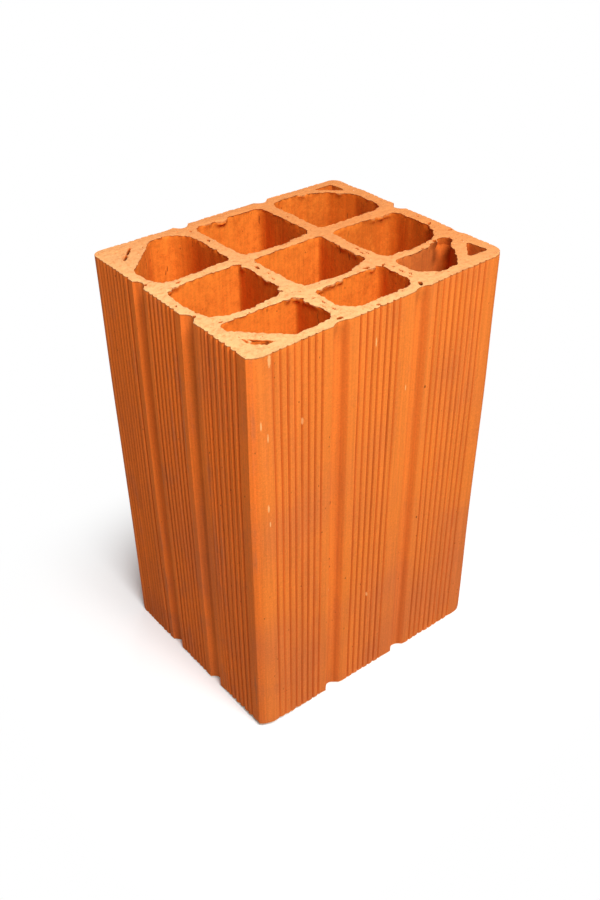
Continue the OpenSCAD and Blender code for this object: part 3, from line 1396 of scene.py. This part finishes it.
    def end_face(self, loops: Sequence[Ints], upper: bool) -> None:
        """Close one cut end between its rims.

        Args:
            loops: Numbers of the rims' points, the outer one first.
            upper: True for the upper end.
        """
        shell_points = self.shell.place()
        rims = [shell_points[loop, :2] for loop in loops]
        rim = np.concatenate(rims)
        if upper:
            pits = self.pits()
            plan = self.upper_points(rim, pits)
            relief = self.end_relief(plan, rim)
            for burr in self.burrs():
                relief += burr.lift * burr.bell(plan, 2.0)
            sink, dark = self.upper_hollows(plan, pits)
            level = self.height + relief - sink
        else:
            plan = self.end_grid(self.bottom_step, rim, self.bottom_seed)
            level = np.maximum(self.low_end_rise - self.end_relief(plan, rim), 0.0)
            dark = np.zeros(len(plan))
        starts = np.cumsum([0] + [len(one) for one in rims])
        rings = [np.arange(start, start + len(one)) for start, one in zip(starts, rims)]
        places = np.concatenate([rim, plan])
        faces = self.triangles(places, [rings[0], *(ring[::-1] for ring in rings[1:])])
        # dark is painted shade in pits and cracks, with crumb colour beside the cracks; none on the lower
        # end.
        numbers = self.shell.add(raised(plan, level), 1.0, 0.0, dark)
        order = np.concatenate([*loops, numbers])
        self.shell.faces.append(order[faces] if upper else order[faces][:, ::-1])

    def build(self) -> bpy.types.Object:
        """Gather skin, walls and ends into one closed mesh and make its object.

        Returns:
            The brick's object.
        """
        low, high = self.outer_skin()
        lower, upper = [low], [high]
        for cell in self.cells():
            low, high = self.cell_wall(cell)
            lower.append(low)
            upper.append(high)
        for number, void in enumerate(self.voids()):
            low, high = self.void_wall(void, number >= self.open_voids)
            lower.append(low)
            if high is not None:
                upper.append(high)
        self.end_face(lower, False)
        self.end_face(upper, True)
        points = self.lean.move(self.shell.place())
        points[:, 2] -= points[:, 2].min()
        return make_object("brick_body", points * MM, self.shell.faces, np.concatenate(self.shell.marks))


def make_object(
    name: str, points: Floats, faces: Iterable[Ints], marks: Floats
) -> bpy.types.Object:
    """Put arrays into a mesh with its marks as attributes, and shade it smooth but for sharp edges.

    Points that no face uses are left out.

    Args:
        name: Name of the piece.
        points: Places in metres.
        faces: Blocks of faces with three or four points each.
        marks: cut, inner and the third mark, shade_and_crumbs, of each point.

    Returns:
        The object, linked to the scene at the origin.
    """
    blocks = list(faces)
    used = np.zeros(len(points), dtype=bool)
    for block in blocks:
        used[block] = True
    renumber = np.cumsum(used) - 1
    mesh = bpy.data.meshes.new(name)
    mesh.from_pydata(
        points[used].tolist(), [], [face for block in blocks for face in renumber[block].tolist()]
    )
    for column, label in enumerate(MARKS):
        layer = mesh.attributes.new(label, "FLOAT", "POINT")
        layer.data.foreach_set("value", marks[used, column].astype(np.float32))
    mesh.polygons.foreach_set("use_smooth", np.ones(len(mesh.polygons), dtype=bool))
    mesh.set_sharp_from_angle(angle=math.radians(SHARP_DEGREES))
    mesh.validate()
    mesh.update()
    made = bpy.data.objects.new(name, mesh)
    bpy.context.scene.collection.objects.link(made)
    return made


class Wire:
    """A node's output in a material, with arithmetic that adds Math nodes."""

    def __init__(self, sheet: "NodeSheet", socket: bpy.types.NodeSocket) -> None:
        """Wrap a socket of a sheet."""
        self.sheet = sheet
        self.socket = socket

    def math(self, operation: str, first: "Wire | float", second: "Wire | float" = 0.0) -> "Wire":
        """Add a Math node.

        Args:
            operation: The node's operation.
            first: First input.
            second: Second input.

        Returns:
            The result.
        """
        return self.sheet.node("ShaderNodeMath", {"operation": operation}, {0: first, 1: second})

    def __add__(self, other: "Wire | float") -> "Wire":
        """Sum."""
        return self.math("ADD", self, other)

    __radd__ = __add__

    def __mul__(self, other: "Wire | float") -> "Wire":
        """Product."""
        return self.math("MULTIPLY", self, other)

    __rmul__ = __mul__

    def __sub__(self, other: "Wire | float") -> "Wire":
        """Difference."""
        return self.math("SUBTRACT", self, other)

    def __rsub__(self, other: "Wire | float") -> "Wire":
        """Difference from a number."""
        return self.math("SUBTRACT", other, self)

    def __truediv__(self, other: "Wire | float") -> "Wire":
        """Quotient."""
        return self.math("DIVIDE", self, other)

    def __pow__(self, other: "Wire | float") -> "Wire":
        """Power."""
        return self.math("POWER", self, other)

    def rise(self, low: float, high: float) -> "Wire":
        """Smooth rise from 0 at low to 1 at high."""
        return self.sheet.node(
            "ShaderNodeMapRange",
            {"interpolation_type": "SMOOTHSTEP"},
            {"Value": self, "From Min": low, "From Max": high},
        )


class NodeSheet:
    """The nodes of a material or of the world, added from Python expressions."""

    def __init__(self, owner: bpy.types.Material | bpy.types.World) -> None:
        """Clear the owner's nodes.

        Args:
            owner: The material or world.
        """
        self.owner = owner
        self.owner.use_nodes = True
        self.tree = owner.node_tree
        self.tree.nodes.clear()

    def node(
        self,
        kind: str,
        settings: Mapping[str, object] | None = None,
        inputs: Mapping[str | int, object] | None = None,
        output: str | int = 0,
    ) -> Wire:
        """Add a node.

        Args:
            kind: The node's type.
            settings: Properties to set first.
            inputs: Values or wires by socket name or number.
            output: Socket to hand back.

        Returns:
            The chosen output.
        """
        made = self.tree.nodes.new(kind)
        for key, value in (settings or {}).items():
            setattr(made, key, value)
        for key, value in (inputs or {}).items():
            if isinstance(value, Wire):
                self.tree.links.new(value.socket, made.inputs[key])
            else:
                made.inputs[key].default_value = value
        return Wire(self, made.outputs[output] if made.outputs else None)

    def place(self) -> Wire:
        """Object coordinates in metres."""
        return self.node("ShaderNodeTexCoord", output="Object")

    def axes(self, place: Wire, names: str) -> list[Wire]:
        """Coordinates along the named axes."""
        return [self.node("ShaderNodeSeparateXYZ", None, {0: place}, name) for name in names]

    def mark(self, name: str) -> Wire:
        """A mesh attribute as a number."""
        return self.node("ShaderNodeAttribute", {"attribute_name": name}, output="Fac")

    def scaled(self, place: Wire, by: tuple[float, float, float]) -> Wire:
        """Coordinates stretched along each axis."""
        return self.node("ShaderNodeVectorMath", {"operation": "MULTIPLY"}, {0: place, 1: by})

    def noise(self, place: Wire, scale: float, detail: float = 2.0, rough: float = 0.5) -> Wire:
        """Fractal noise from 0 to 1.

        Args:
            place: Coordinates.
            scale: Waves to a metre.
            detail: Number of finer layers.
            rough: Share of each finer layer.

        Returns:
            The noise.
        """
        inputs = {"Vector": place, "Scale": scale, "Detail": detail, "Roughness": rough}
        return self.node("ShaderNodeTexNoise", None, inputs)

    def cells(self, place: Wire, scale: float) -> Wire:
        """Distance to the nearest of scattered points, in units of their spacing."""
        return self.node("ShaderNodeTexVoronoi", None, {"Vector": place, "Scale": scale}, "Distance")

    def mix(
        self, share: Wire | float, first: Wire | Colour, second: Wire | Colour, how: str = "MIX"
    ) -> Wire:
        """Mix two colours.

        Args:
            share: Share of the second.
            first: First colour.
            second: Second colour.
            how: The node's blend type.

        Returns:
            The mixed colour.
        """
        pair = [one if isinstance(one, Wire) else (*one, 1.0) for one in (first, second)]
        settings = {"data_type": "RGBA", "blend_type": how}
        return self.node("ShaderNodeMix", settings, {0: share, 6: pair[0], 7: pair[1]}, 2)


@dataclass(frozen=True)
class Blemish:
    """A small mark on the front side, by its place and half sizes along X and Z in millimetres.

    It fades between the two shares of its size in edge, frayed by noise of the given strength.
    """

    x: float
    z: float
    half_w: float
    half_h: float
    front: float = -77.5
    reach: float = 8.0
    edge: tuple[float, float] = (0.6, 1.15)
    fray: float = 1.2

    def share(self, sheet: NodeSheet, place: Wire, ragged: Wire) -> Wire:
        """Strength of the mark.

        Args:
            sheet: The material's nodes.
            place: Object coordinates in metres.
            ragged: Noise from 0 to 1 that frays the mark.

        Returns:
            1 inside the mark, 0 outside it.
        """
        centre = (self.x * MM, self.front * MM, self.z * MM)
        off = sheet.node("ShaderNodeVectorMath", {"operation": "SUBTRACT"}, {0: place, 1: centre})
        sizes = (1.0 / (self.half_w * MM), 1.0 / (self.reach * MM), 1.0 / (self.half_h * MM))
        shape = sheet.scaled(off, sizes)
        away = sheet.node("ShaderNodeVectorMath", {"operation": "LENGTH"}, {0: shape}, "Value")
        return 1.0 - (away + (ragged - 0.5) * self.fray).rise(*self.edge)


@dataclass(frozen=True)
class ClayPattern:
    """A fractal noise in the clay: waves to a metre, finer layers and the share of each.

    A pattern that is drawn out has its waves to a metre along X, Y and Z in stretch.
    """

    scale: float
    detail: float
    rough: float = 0.5
    stretch: tuple[float, float, float] | None = None

    def wire(self, sheet: NodeSheet, place: Wire) -> Wire:
        """The noise from 0 to 1 at Object coordinates."""
        where = sheet.scaled(place, self.stretch) if self.stretch else place
        return sheet.noise(where, self.scale, self.detail, self.rough)


class ClayFields:
    """The places, marks and noises that the parts of the clay's finish share.

    level is 0 at the lower end and 1 at the upper end, and left is 1 on the left side; the finish paints
    shade by both.
    """

    def __init__(self, sheet: NodeSheet, finish: "FiredClay") -> None:
        """Read the mesh's marks and Object coordinates, and lay out the noises.

        Args:
            sheet: The material's nodes.
            finish: The finish, for its patterns and sizes.
        """
        self.place = sheet.place()
        self.cut, self.inner, self.shade_and_crumbs = (sheet.mark(name) for name in MARKS)
        self.x, self.y, z = sheet.axes(self.place, "XYZ")
        self.level = z / finish.height
        self.left = (0.0 - self.x).rise(*finish.left_range)
        self.patches = finish.patches.wire(sheet, self.place)
        self.clouds = finish.clouds.wire(sheet, self.place)
        self.streaks = finish.streaks.wire(sheet, self.place)
        self.threads = finish.threads.wire(sheet, self.place)
        self.torn = finish.torn.wire(sheet, self.place)
        self.grain = finish.grain.wire(sheet, self.place)
        self.fine = finish.fine.wire(sheet, self.place)


@dataclass(frozen=True)
class FiredClay:
    """Finish of the brick: orange fired clay, duller and redder in patches, pale and grainy where cut, with
    painted light and shade.
    """

    orange: Colour = (0.86, 0.218, 0.031)
    # Duller colour of random patches and of the painted shade towards the lower end.
    salmon: Colour = (0.70, 0.176, 0.041)
    # flame and rust are redder copies of orange and salmon for the left side, standing for its shade.
    orange_in_shade: Colour = (0.96, 0.206, 0.026)
    salmon_in_shade: Colour = (0.80, 0.176, 0.037)
    # Dark red: burnt patches and pores, and the painted shade in flutes and on groove flanks.
    ember_and_shade: Colour = (0.50, 0.085, 0.009)
    # Grey haze: random streaks all over, stronger on the left side as painted shade.
    haze_and_shade: Colour = (0.52, 0.165, 0.070)
    cut_front: Colour = (0.893, 0.478, 0.199)
    cut_back: Colour = (0.79, 0.295, 0.090)
    cut_deep: Colour = (0.66, 0.190, 0.045)
    cell_clay: Colour = (0.92, 0.240, 0.027)
    # Brown of the mottling on cell walls, and the first step of painted shade in pits and cracks of the cut
    # ends.
    cell_brown_and_shade: Colour = (0.58, 0.112, 0.010)
    # Painted shade for the walls of the front right cell.
    front_right_cell_shade: Colour = (0.52, 0.135, 0.040)
    # Dark red painted shade: on cell walls that face left, and towards the right of the front right cell.
    cell_wall_shade: Colour = (0.56, 0.085, 0.002)
    # Nearly black painted shade inside pits and cracks of the cut end; the dark marks on the front use it
    # too.
    pit: Colour = (0.11, 0.021, 0.004)
    # Dark colour of specks and ticks, and of the painted shade in deep chips.
    speck_and_shade: Colour = (0.22, 0.042, 0.006)
    fleck: Colour = (1.0, 0.56, 0.22)
    dark_marks: tuple[Blemish, ...] = (
        Blemish(-37.0, 166.0, 1.0, 2.0),
        Blemish(21.5, 170.0, 0.7, 1.2),
        Blemish(33.0, 222.0, 0.7, 1.1),
        Blemish(-36.5, 120.0, 0.6, 1.0),
        Blemish(-36.0, 113.0, 0.6, 0.9),
        Blemish(-26.0, 100.0, 0.6, 0.8),
        Blemish(35.0, 119.0, 0.6, 0.9),
        Blemish(36.5, 102.0, 0.6, 0.8),
        Blemish(-12.0, 86.0, 0.6, 0.9),
        Blemish(-38.0, 204.0, 0.6, 0.9),
        Blemish(-62.0, 115.0, 0.6, 0.8),
    )
    pale_marks: tuple[Blemish, ...] = (
        Blemish(-83.0, 285.0, 1.0, 4.0),
        Blemish(-89.0, 247.0, 0.5, 3.4),
        Blemish(-85.0, 238.0, 0.5, 3.0),
        Blemish(-86.0, 190.0, 0.7, 3.0),
        Blemish(-85.0, 178.0, 0.5, 2.2),
        Blemish(-61.0, 238.0, 0.5, 2.4),
        Blemish(-9.0, 268.0, 0.5, 3.4),
        Blemish(16.5, 228.0, 0.5, 2.0),
        Blemish(-37.0, 94.0, 0.5, 2.0),
        Blemish(-6.0, 73.0, 0.5, 2.0),
    )
    height: float = 0.290
    left_range: tuple[float, float] = (0.0885, 0.0935)
    patches: ClayPattern = ClayPattern(11.0, 3.0, 0.55)
    clouds: ClayPattern = ClayPattern(42.0, 3.0, 0.6)
    streaks: ClayPattern = ClayPattern(1.0, 3.0, 0.6, (230.0, 230.0, 5.0))
    threads: ClayPattern = ClayPattern(1.0, 2.0, 0.6, (620.0, 620.0, 9.0))
    torn: ClayPattern = ClayPattern(320.0, 4.0, 0.7)
    grain: ClayPattern = ClayPattern(850.0, 3.0, 0.65)
    fine: ClayPattern = ClayPattern(2100.0, 2.0, 0.6)
    mottle: ClayPattern = ClayPattern(210.0, 5.0, 0.75)
    ticks: ClayPattern = ClayPattern(1.0, 2.0, 0.5, (420.0, 420.0, 100.0))
    tick_groups: ClayPattern = ClayPattern(45.0, 1.0)
    pore_groups: ClayPattern = ClayPattern(95.0, 1.0)
    speck_groups: ClayPattern = ClayPattern(60.0, 1.0)
    ember_share: float = 0.35
    flute_shade_share: float = 0.8
    brown_share: float = 0.7
    front_right_shade_share: float = 0.5
    left_facing_shade_share: float = 0.6
    chip_shade_share: float = 0.9
    tick_share: float = 0.7
    torn_share: float = 0.75
    pore_share: float = 0.5
    speck_share: float = 0.7
    dark_mark_share: float = 0.85
    pale_mark_share: float = 0.65
    roughness: float = 0.80
    grain_roughness: float = 0.14
    specular: float = 0.10
    bump_strength: float = 0.75
    bump_distance: float = 0.0006

    def skin(self, sheet: NodeSheet, clay: ClayFields) -> Wire:
        """Colour the outer sides: dull patches, ember and grey haze streaks, and painted shade in flutes
        and on groove flanks.

        Painted shade also makes the lower end duller, turns the left side's colours redder and makes the
        haze stronger there.

        Args:
            sheet: The material's nodes.
            clay: The shared marks and noises.

        Returns:
            The colour.
        """
        # Duller in random patches, and with painted shade that grows towards the lower end.
        patches_and_low_shade = ((1.0 - clay.level) * 0.42 + clay.patches * 1.5 - 0.62).rise(0.1, 0.75)
        # On the left side the colours turn to redder copies: painted shade of that side.
        plain_with_left_shade = sheet.mix(clay.left, self.orange, self.orange_in_shade)
        skin = sheet.mix(patches_and_low_shade, plain_with_left_shade, sheet.mix(clay.left, self.salmon, self.salmon_in_shade))
        burnt = (clay.clouds * 0.7 + clay.streaks * 1.1 - 0.94).rise(0.0, 0.4)
        skin = sheet.mix(burnt * self.ember_share, skin, self.ember_and_shade)
        # Grey haze in random streaks, stronger on the left side as painted shade.
        haze_and_left_shade = (clay.streaks * 0.9 + clay.clouds * 0.7 - 0.78).rise(0.0, 0.35)
        skin = sheet.mix(haze_and_left_shade * (clay.left * 0.4 + 0.15), skin, self.haze_and_shade)
        # Painted shade in the flutes and on the groove flanks, in the dark ember colour.
        return sheet.mix(clay.shade_and_crumbs * self.flute_shade_share, skin, self.ember_and_shade)

    def wall(self, sheet: NodeSheet, clay: ClayFields) -> Wire:
        """Colour the walls of holes: brown mottling, painted shade that is darker and redder where they
        face left.

        The front right cell and deep chips get painted shade too, and there are dark ticks.

        Args:
            sheet: The material's nodes.
            clay: The shared marks and noises.

        Returns:
            The colour.
        """
        mottle = self.mottle.wire(sheet, clay.place)
        browned = mottle * 1.4 + clay.clouds * 0.6 + clay.streaks * 0.6
        browned = (browned + clay.x.rise(0.0, 0.09) * 0.28 - 1.12).rise(0.0, 0.6)
        wall = sheet.mix(browned * self.brown_share, self.cell_clay, self.cell_brown_and_shade)
        # Painted shade in the front right cell, darkest towards its right wall.
        front = (0.0 - clay.y).rise(0.034, 0.042)
        wall = sheet.mix(clay.x.rise(0.030, 0.045) * front * self.front_right_shade_share, wall, self.front_right_cell_shade)
        # Painted shade on walls that face left, darker and redder.
        left_facing_shade = (clay.inner - 1.0).rise(0.3, 0.95)
        wall = sheet.mix(left_facing_shade * self.left_facing_shade_share, wall, self.cell_wall_shade)
        wall = sheet.mix(clay.x.rise(0.066, 0.080) * front * self.front_right_shade_share, wall, self.cell_wall_shade)
        # Painted shade in deep chips.
        wall = sheet.mix(clay.shade_and_crumbs * self.chip_shade_share, wall, self.speck_and_shade)
        ticks = self.ticks.wire(sheet, clay.place).rise(0.66, 0.71)
        groups = self.tick_groups.wire(sheet, clay.place).rise(0.54, 0.60)
        return sheet.mix(ticks * groups * self.tick_share, wall, self.speck_and_shade)

    def end(self, sheet: NodeSheet, clay: ClayFields) -> Wire:
        """Colour the cut ends: palest at the front left, deeper where torn, with pores and painted shade in
        pits.

        Cracks get painted shade too, with crumb colour beside them.

        Args:
            sheet: The material's nodes.
            clay: The shared marks and noises.

        Returns:
            The colour.
        """
        pale = sheet.mix((0.0 - clay.x - clay.y).rise(-0.08, 0.10), self.cut_back, self.cut_front)
        rough = (clay.torn * 1.2 + clay.grain * 0.8 - 0.90).rise(0.0, 0.5)
        end = sheet.mix(rough * self.torn_share, pale, self.cut_deep)
        spots = sheet.cells(sheet.scaled(clay.place, (1.0, 1.0, 0.3)), 330.0)
        pores = 1.0 - (spots + clay.torn * 0.5).rise(0.30, 0.46)
        groups = self.pore_groups.wire(sheet, clay.place).rise(0.46, 0.58)
        end = sheet.mix(pores * groups * self.pore_share, end, self.ember_and_shade)
        # Painted shade in pits and cracks: brown, then nearly black with depth; crumbs beside cracks take
        # the brown.
        end = sheet.mix(clay.shade_and_crumbs.rise(0.04, 0.22), end, self.cell_brown_and_shade)
        return sheet.mix(clay.shade_and_crumbs.rise(0.2, 0.55), end, self.pit)

    def tone(self, sheet: NodeSheet, clay: ClayFields) -> Wire:
        """Work out how light the clay is: grain all over, fine upright lines, and painted light on the left
        side.

        The painted light makes the left side paler at its top and darker towards its lower end.

        Args:
            sheet: The material's nodes.
            clay: The shared marks and noises.

        Returns:
            A grey that multiplies the colour.
        """
        lines = (clay.streaks - 0.5) * 0.24 + (clay.threads - 0.5) * 0.44
        shade = clay.grain * 0.42 + clay.fine * 0.26 + lines * (1.0 - clay.cut)
        # Painted light falloff on the left side: paler at the top, darker towards the lower end.
        shade = shade + (clay.level - 0.7) * clay.left * 0.2 + 0.66
        return sheet.node("ShaderNodeCombineColor", None, {0: shade, 1: shade, 2: shade})

    def marked(self, sheet: NodeSheet, clay: ClayFields, colour: Wire) -> Wire:
        """Put specks all over and the single dark and pale marks on the front.

        Args:
            sheet: The material's nodes.
            clay: The shared marks and noises.
            colour: The colour before.

        Returns:
            The colour with its marks.
        """
        dots = 1.0 - sheet.cells(sheet.scaled(clay.place, (1.0, 1.0, 0.6)), 240.0).rise(0.05, 0.13)
        groups = self.speck_groups.wire(sheet, clay.place).rise(0.56, 0.62)
        colour = sheet.mix(dots * groups * self.speck_share, colour, self.speck_and_shade)
        for marks, share, paint in (
            (self.dark_marks, self.dark_mark_share, self.pit),
            (self.pale_marks, self.pale_mark_share, self.fleck),
        ):
            for mark in marks:
                colour = sheet.mix(mark.share(sheet, clay.place, clay.grain) * share, colour, paint)
        return colour

    def bump(self, sheet: NodeSheet, clay: ClayFields) -> Wire:
        """Work out the fine relief: torn grain on the cut ends, streaks on the other sides.

        Args:
            sheet: The material's nodes.
            clay: The shared marks and noises.

        Returns:
            The bumped normal.
        """
        relief = clay.torn * clay.cut * 1.2 + clay.grain * (0.35 + clay.cut * 0.6)
        relief = relief + clay.streaks * (1.0 - clay.cut) * 0.55 + clay.fine * 0.15
        inputs = {"Strength": self.bump_strength, "Distance": self.bump_distance, "Height": relief}
        return sheet.node("ShaderNodeBump", None, inputs, "Normal")

    def material(self) -> bpy.types.Material:
        """Make the material from the mesh's marks and Object coordinates.

        Returns:
            The material.
        """
        sheet = NodeSheet(bpy.data.materials.new("fired_clay"))
        clay = ClayFields(sheet, self)
        body = sheet.mix(clay.inner, self.skin(sheet, clay), self.wall(sheet, clay))
        ends = (clay.cut + (clay.grain - 0.5) * 0.5).rise(0.3, 0.7)
        colour = sheet.mix(ends, body, self.end(sheet, clay))
        colour = sheet.mix(1.0, colour, self.tone(sheet, clay), "MULTIPLY")
        inputs = {
            "Base Color": self.marked(sheet, clay, colour),
            "Roughness": clay.grain * self.grain_roughness + self.roughness,
            "Normal": self.bump(sheet, clay),
            "Specular IOR Level": self.specular,
        }
        shader = sheet.node("ShaderNodeBsdfPrincipled", None, inputs)
        sheet.node("ShaderNodeOutputMaterial", None, {"Surface": shader})
        return sheet.owner


@dataclass(frozen=True)
class StudioFloor:
    """Pale floor that shows white to the camera and keeps the brick's soft shadow.

    foot is the brick's half size in plan. The plain white that the camera sees has white_share beside the
    brick and rises to all of it at white_start from the brick.
    """

    half: float = 6.0
    grid_lines: int = 9
    colour: Colour = (0.50, 0.49, 0.48)
    seen_colour: Colour = (1.0, 1.0, 1.0)
    foot: tuple[float, float] = (0.095, 0.0775)
    white_share: float = 0.07
    white_start: float = 0.135

    def build(self) -> bpy.types.Object:
        """Lay a flat grid as the floor and dress it.

        Returns:
            The floor's object.
        """
        steps = np.linspace(-self.half, self.half, self.grid_lines)
        x, y = np.meshgrid(steps, steps)
        points = np.stack([x.ravel(), y.ravel(), np.zeros(x.size)], axis=-1)
        numbers = np.arange(x.size).reshape(x.shape)
        corners = (numbers[:-1, :-1], numbers[:-1, 1:], numbers[1:, 1:], numbers[1:, :-1])
        quads = np.stack(corners, axis=-1).reshape(-1, 4)
        floor = make_object("studio_floor", points, [quads], np.zeros((x.size, len(MARKS))))
        floor.data.materials.append(self.material())
        return floor

    def material(self) -> bpy.types.Material:
        """Make a diffuse floor, mixed with plain white for the rays that look at it.

        Returns:
            The material.
        """
        sheet = NodeSheet(bpy.data.materials.new("studio_floor"))
        seen = look_rays(sheet)
        tint = sheet.mix(seen, self.colour, self.seen_colour)
        matt = sheet.node("ShaderNodeBsdfDiffuse", None, {"Color": tint})
        white = sheet.node("ShaderNodeEmission", None, {"Color": WHITE, "Strength": 1.0})
        beside, behind = (
            one.math("MAXIMUM", one.math("ABSOLUTE", one) - half, 0.0)
            for one, half in zip(sheet.axes(sheet.place(), "XY"), self.foot)
        )
        away = (beside * beside + behind * behind) ** 0.5
        share = away.rise(0.0, self.white_start) * (1.0 - self.white_share) + self.white_share
        shader = sheet.node("ShaderNodeMixShader", None, {0: seen * share, 1: matt, 2: white})
        sheet.node("ShaderNodeOutputMaterial", None, {"Surface": shader})
        return sheet.owner


def look_rays(sheet: NodeSheet) -> Wire:
    """Tell the rays by which the background is seen: straight, in gloss or through glass.

    Args:
        sheet: The nodes of the background's material or of the world.

    Returns:
        1 for those rays, 0 for the others.
    """
    names = ("Camera", "Glossy", "Transmission")
    straight, gloss, glass = (sheet.node("ShaderNodeLightPath", output=f"Is {name} Ray") for name in names)
    return straight.math("MINIMUM", straight + gloss + glass, 1.0)


@dataclass(frozen=True)
class SoftLamp:
    """A square soft lamp that shines at the brick's middle from one direction."""

    name: str
    comes_from: tuple[float, float, float]
    strength: float
    size: float = 0.6
    distance: float = 1.5
    aim_height: float = 0.145

    def build(self) -> bpy.types.Object:
        """Make the lamp, with its strength given as the light on a surface that faces it.

        Returns:
            The lamp's object.
        """
        data = bpy.data.lights.new(self.name, "AREA")
        data.size = self.size
        data.energy = self.strength * math.pi * self.distance**2
        lamp = bpy.data.objects.new(self.name, data)
        away = Vector(self.comes_from).normalized()
        lamp.location = away * self.distance + Vector((0.0, 0.0, self.aim_height))
        lamp.rotation_euler = away.to_track_quat("Z", "Y").to_euler()
        bpy.context.scene.collection.objects.link(lamp)
        return lamp


@dataclass(frozen=True)
class StudioLight:
    """Soft key lamp above the front, a weak low lamp for the two hidden sides and an even surround."""

    lamps: tuple[SoftLamp, ...] = (
        SoftLamp("key_light", (-0.128, -0.54, 0.83), 3.9),
        SoftLamp("back_light", (0.62, 0.77, 0.06), 0.7, 0.4),
    )
    surround: float = 0.20

    def build(self) -> None:
        """Make the lamps, and a world that is white to the rays that look at it and dimmer as light."""
        for lamp in self.lamps:
            lamp.build()
        world = bpy.data.worlds.new("studio_surround")
        bpy.context.scene.world = world
        sheet = NodeSheet(world)
        strength = look_rays(sheet) * (1.0 - self.surround) + self.surround
        background = sheet.node("ShaderNodeBackground", None, {"Color": WHITE, "Strength": strength})
        sheet.node("ShaderNodeOutputWorld", None, {"Surface": background})


@dataclass(frozen=True)
class PhotoCamera:
    """Camera at the photograph's angle: a pinhole fitted to the brick's corners in a 600 by 900 image."""

    focal_pixels: float = 998.1
    image_height: float = 900.0
    sensor: float = 36.0
    azimuth: float = -38.80
    elevation: float = 36.37
    roll: float = -0.42
    distance: float = 674.8
    aim: tuple[float, float, float] = (0.0, 0.7, 145.7)
    nearest: float = 0.01

    def build(self) -> bpy.types.Object:
        """Make the camera and put it in place.

        Returns:
            The camera's object.
        """
        data = bpy.data.cameras.new("photo_camera")
        data.sensor_width = self.sensor
        data.lens = self.focal_pixels * self.sensor / self.image_height
        data.clip_start = self.nearest
        turn, rise, roll = (math.radians(one) for one in (self.azimuth, self.elevation, self.roll))
        back = Vector((math.sin(turn) * math.cos(rise), -math.cos(turn) * math.cos(rise), math.sin(rise)))
        right = Vector((math.cos(turn), math.sin(turn), 0.0))
        up = back.cross(right)
        right, up = (
            math.cos(roll) * right + math.sin(roll) * up,
            math.cos(roll) * up - math.sin(roll) * right,
        )
        place = (Vector(self.aim) + back * self.distance) * MM
        camera = bpy.data.objects.new("photo_camera", data)
        bpy.context.scene.collection.objects.link(camera)
        camera.matrix_world = Matrix.Translation(place) @ Matrix((right, up, back)).transposed().to_4x4()
        bpy.context.scene.camera = camera
        return camera


def main() -> None:
    """Build the brick, its floor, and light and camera."""
    logging.basicConfig(level=logging.INFO, format="%(message)s")
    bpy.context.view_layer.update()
    bpy.context.scene.view_settings.view_transform = "Standard"
    PhotoCamera().build()
    StudioLight().build()
    floor = StudioFloor().build()

    brick = HollowBrick().build()
    brick.data.materials.append(FiredClay().material())
    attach(brick, BODY)
    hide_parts(CLAY_NODE)
    triangles = sum(len(face.vertices) - 2 for face in brick.data.polygons)
    log.info("%s: %d points, %d triangles", brick.name, len(brick.data.vertices), triangles)


if __name__ == "__main__":
    main()
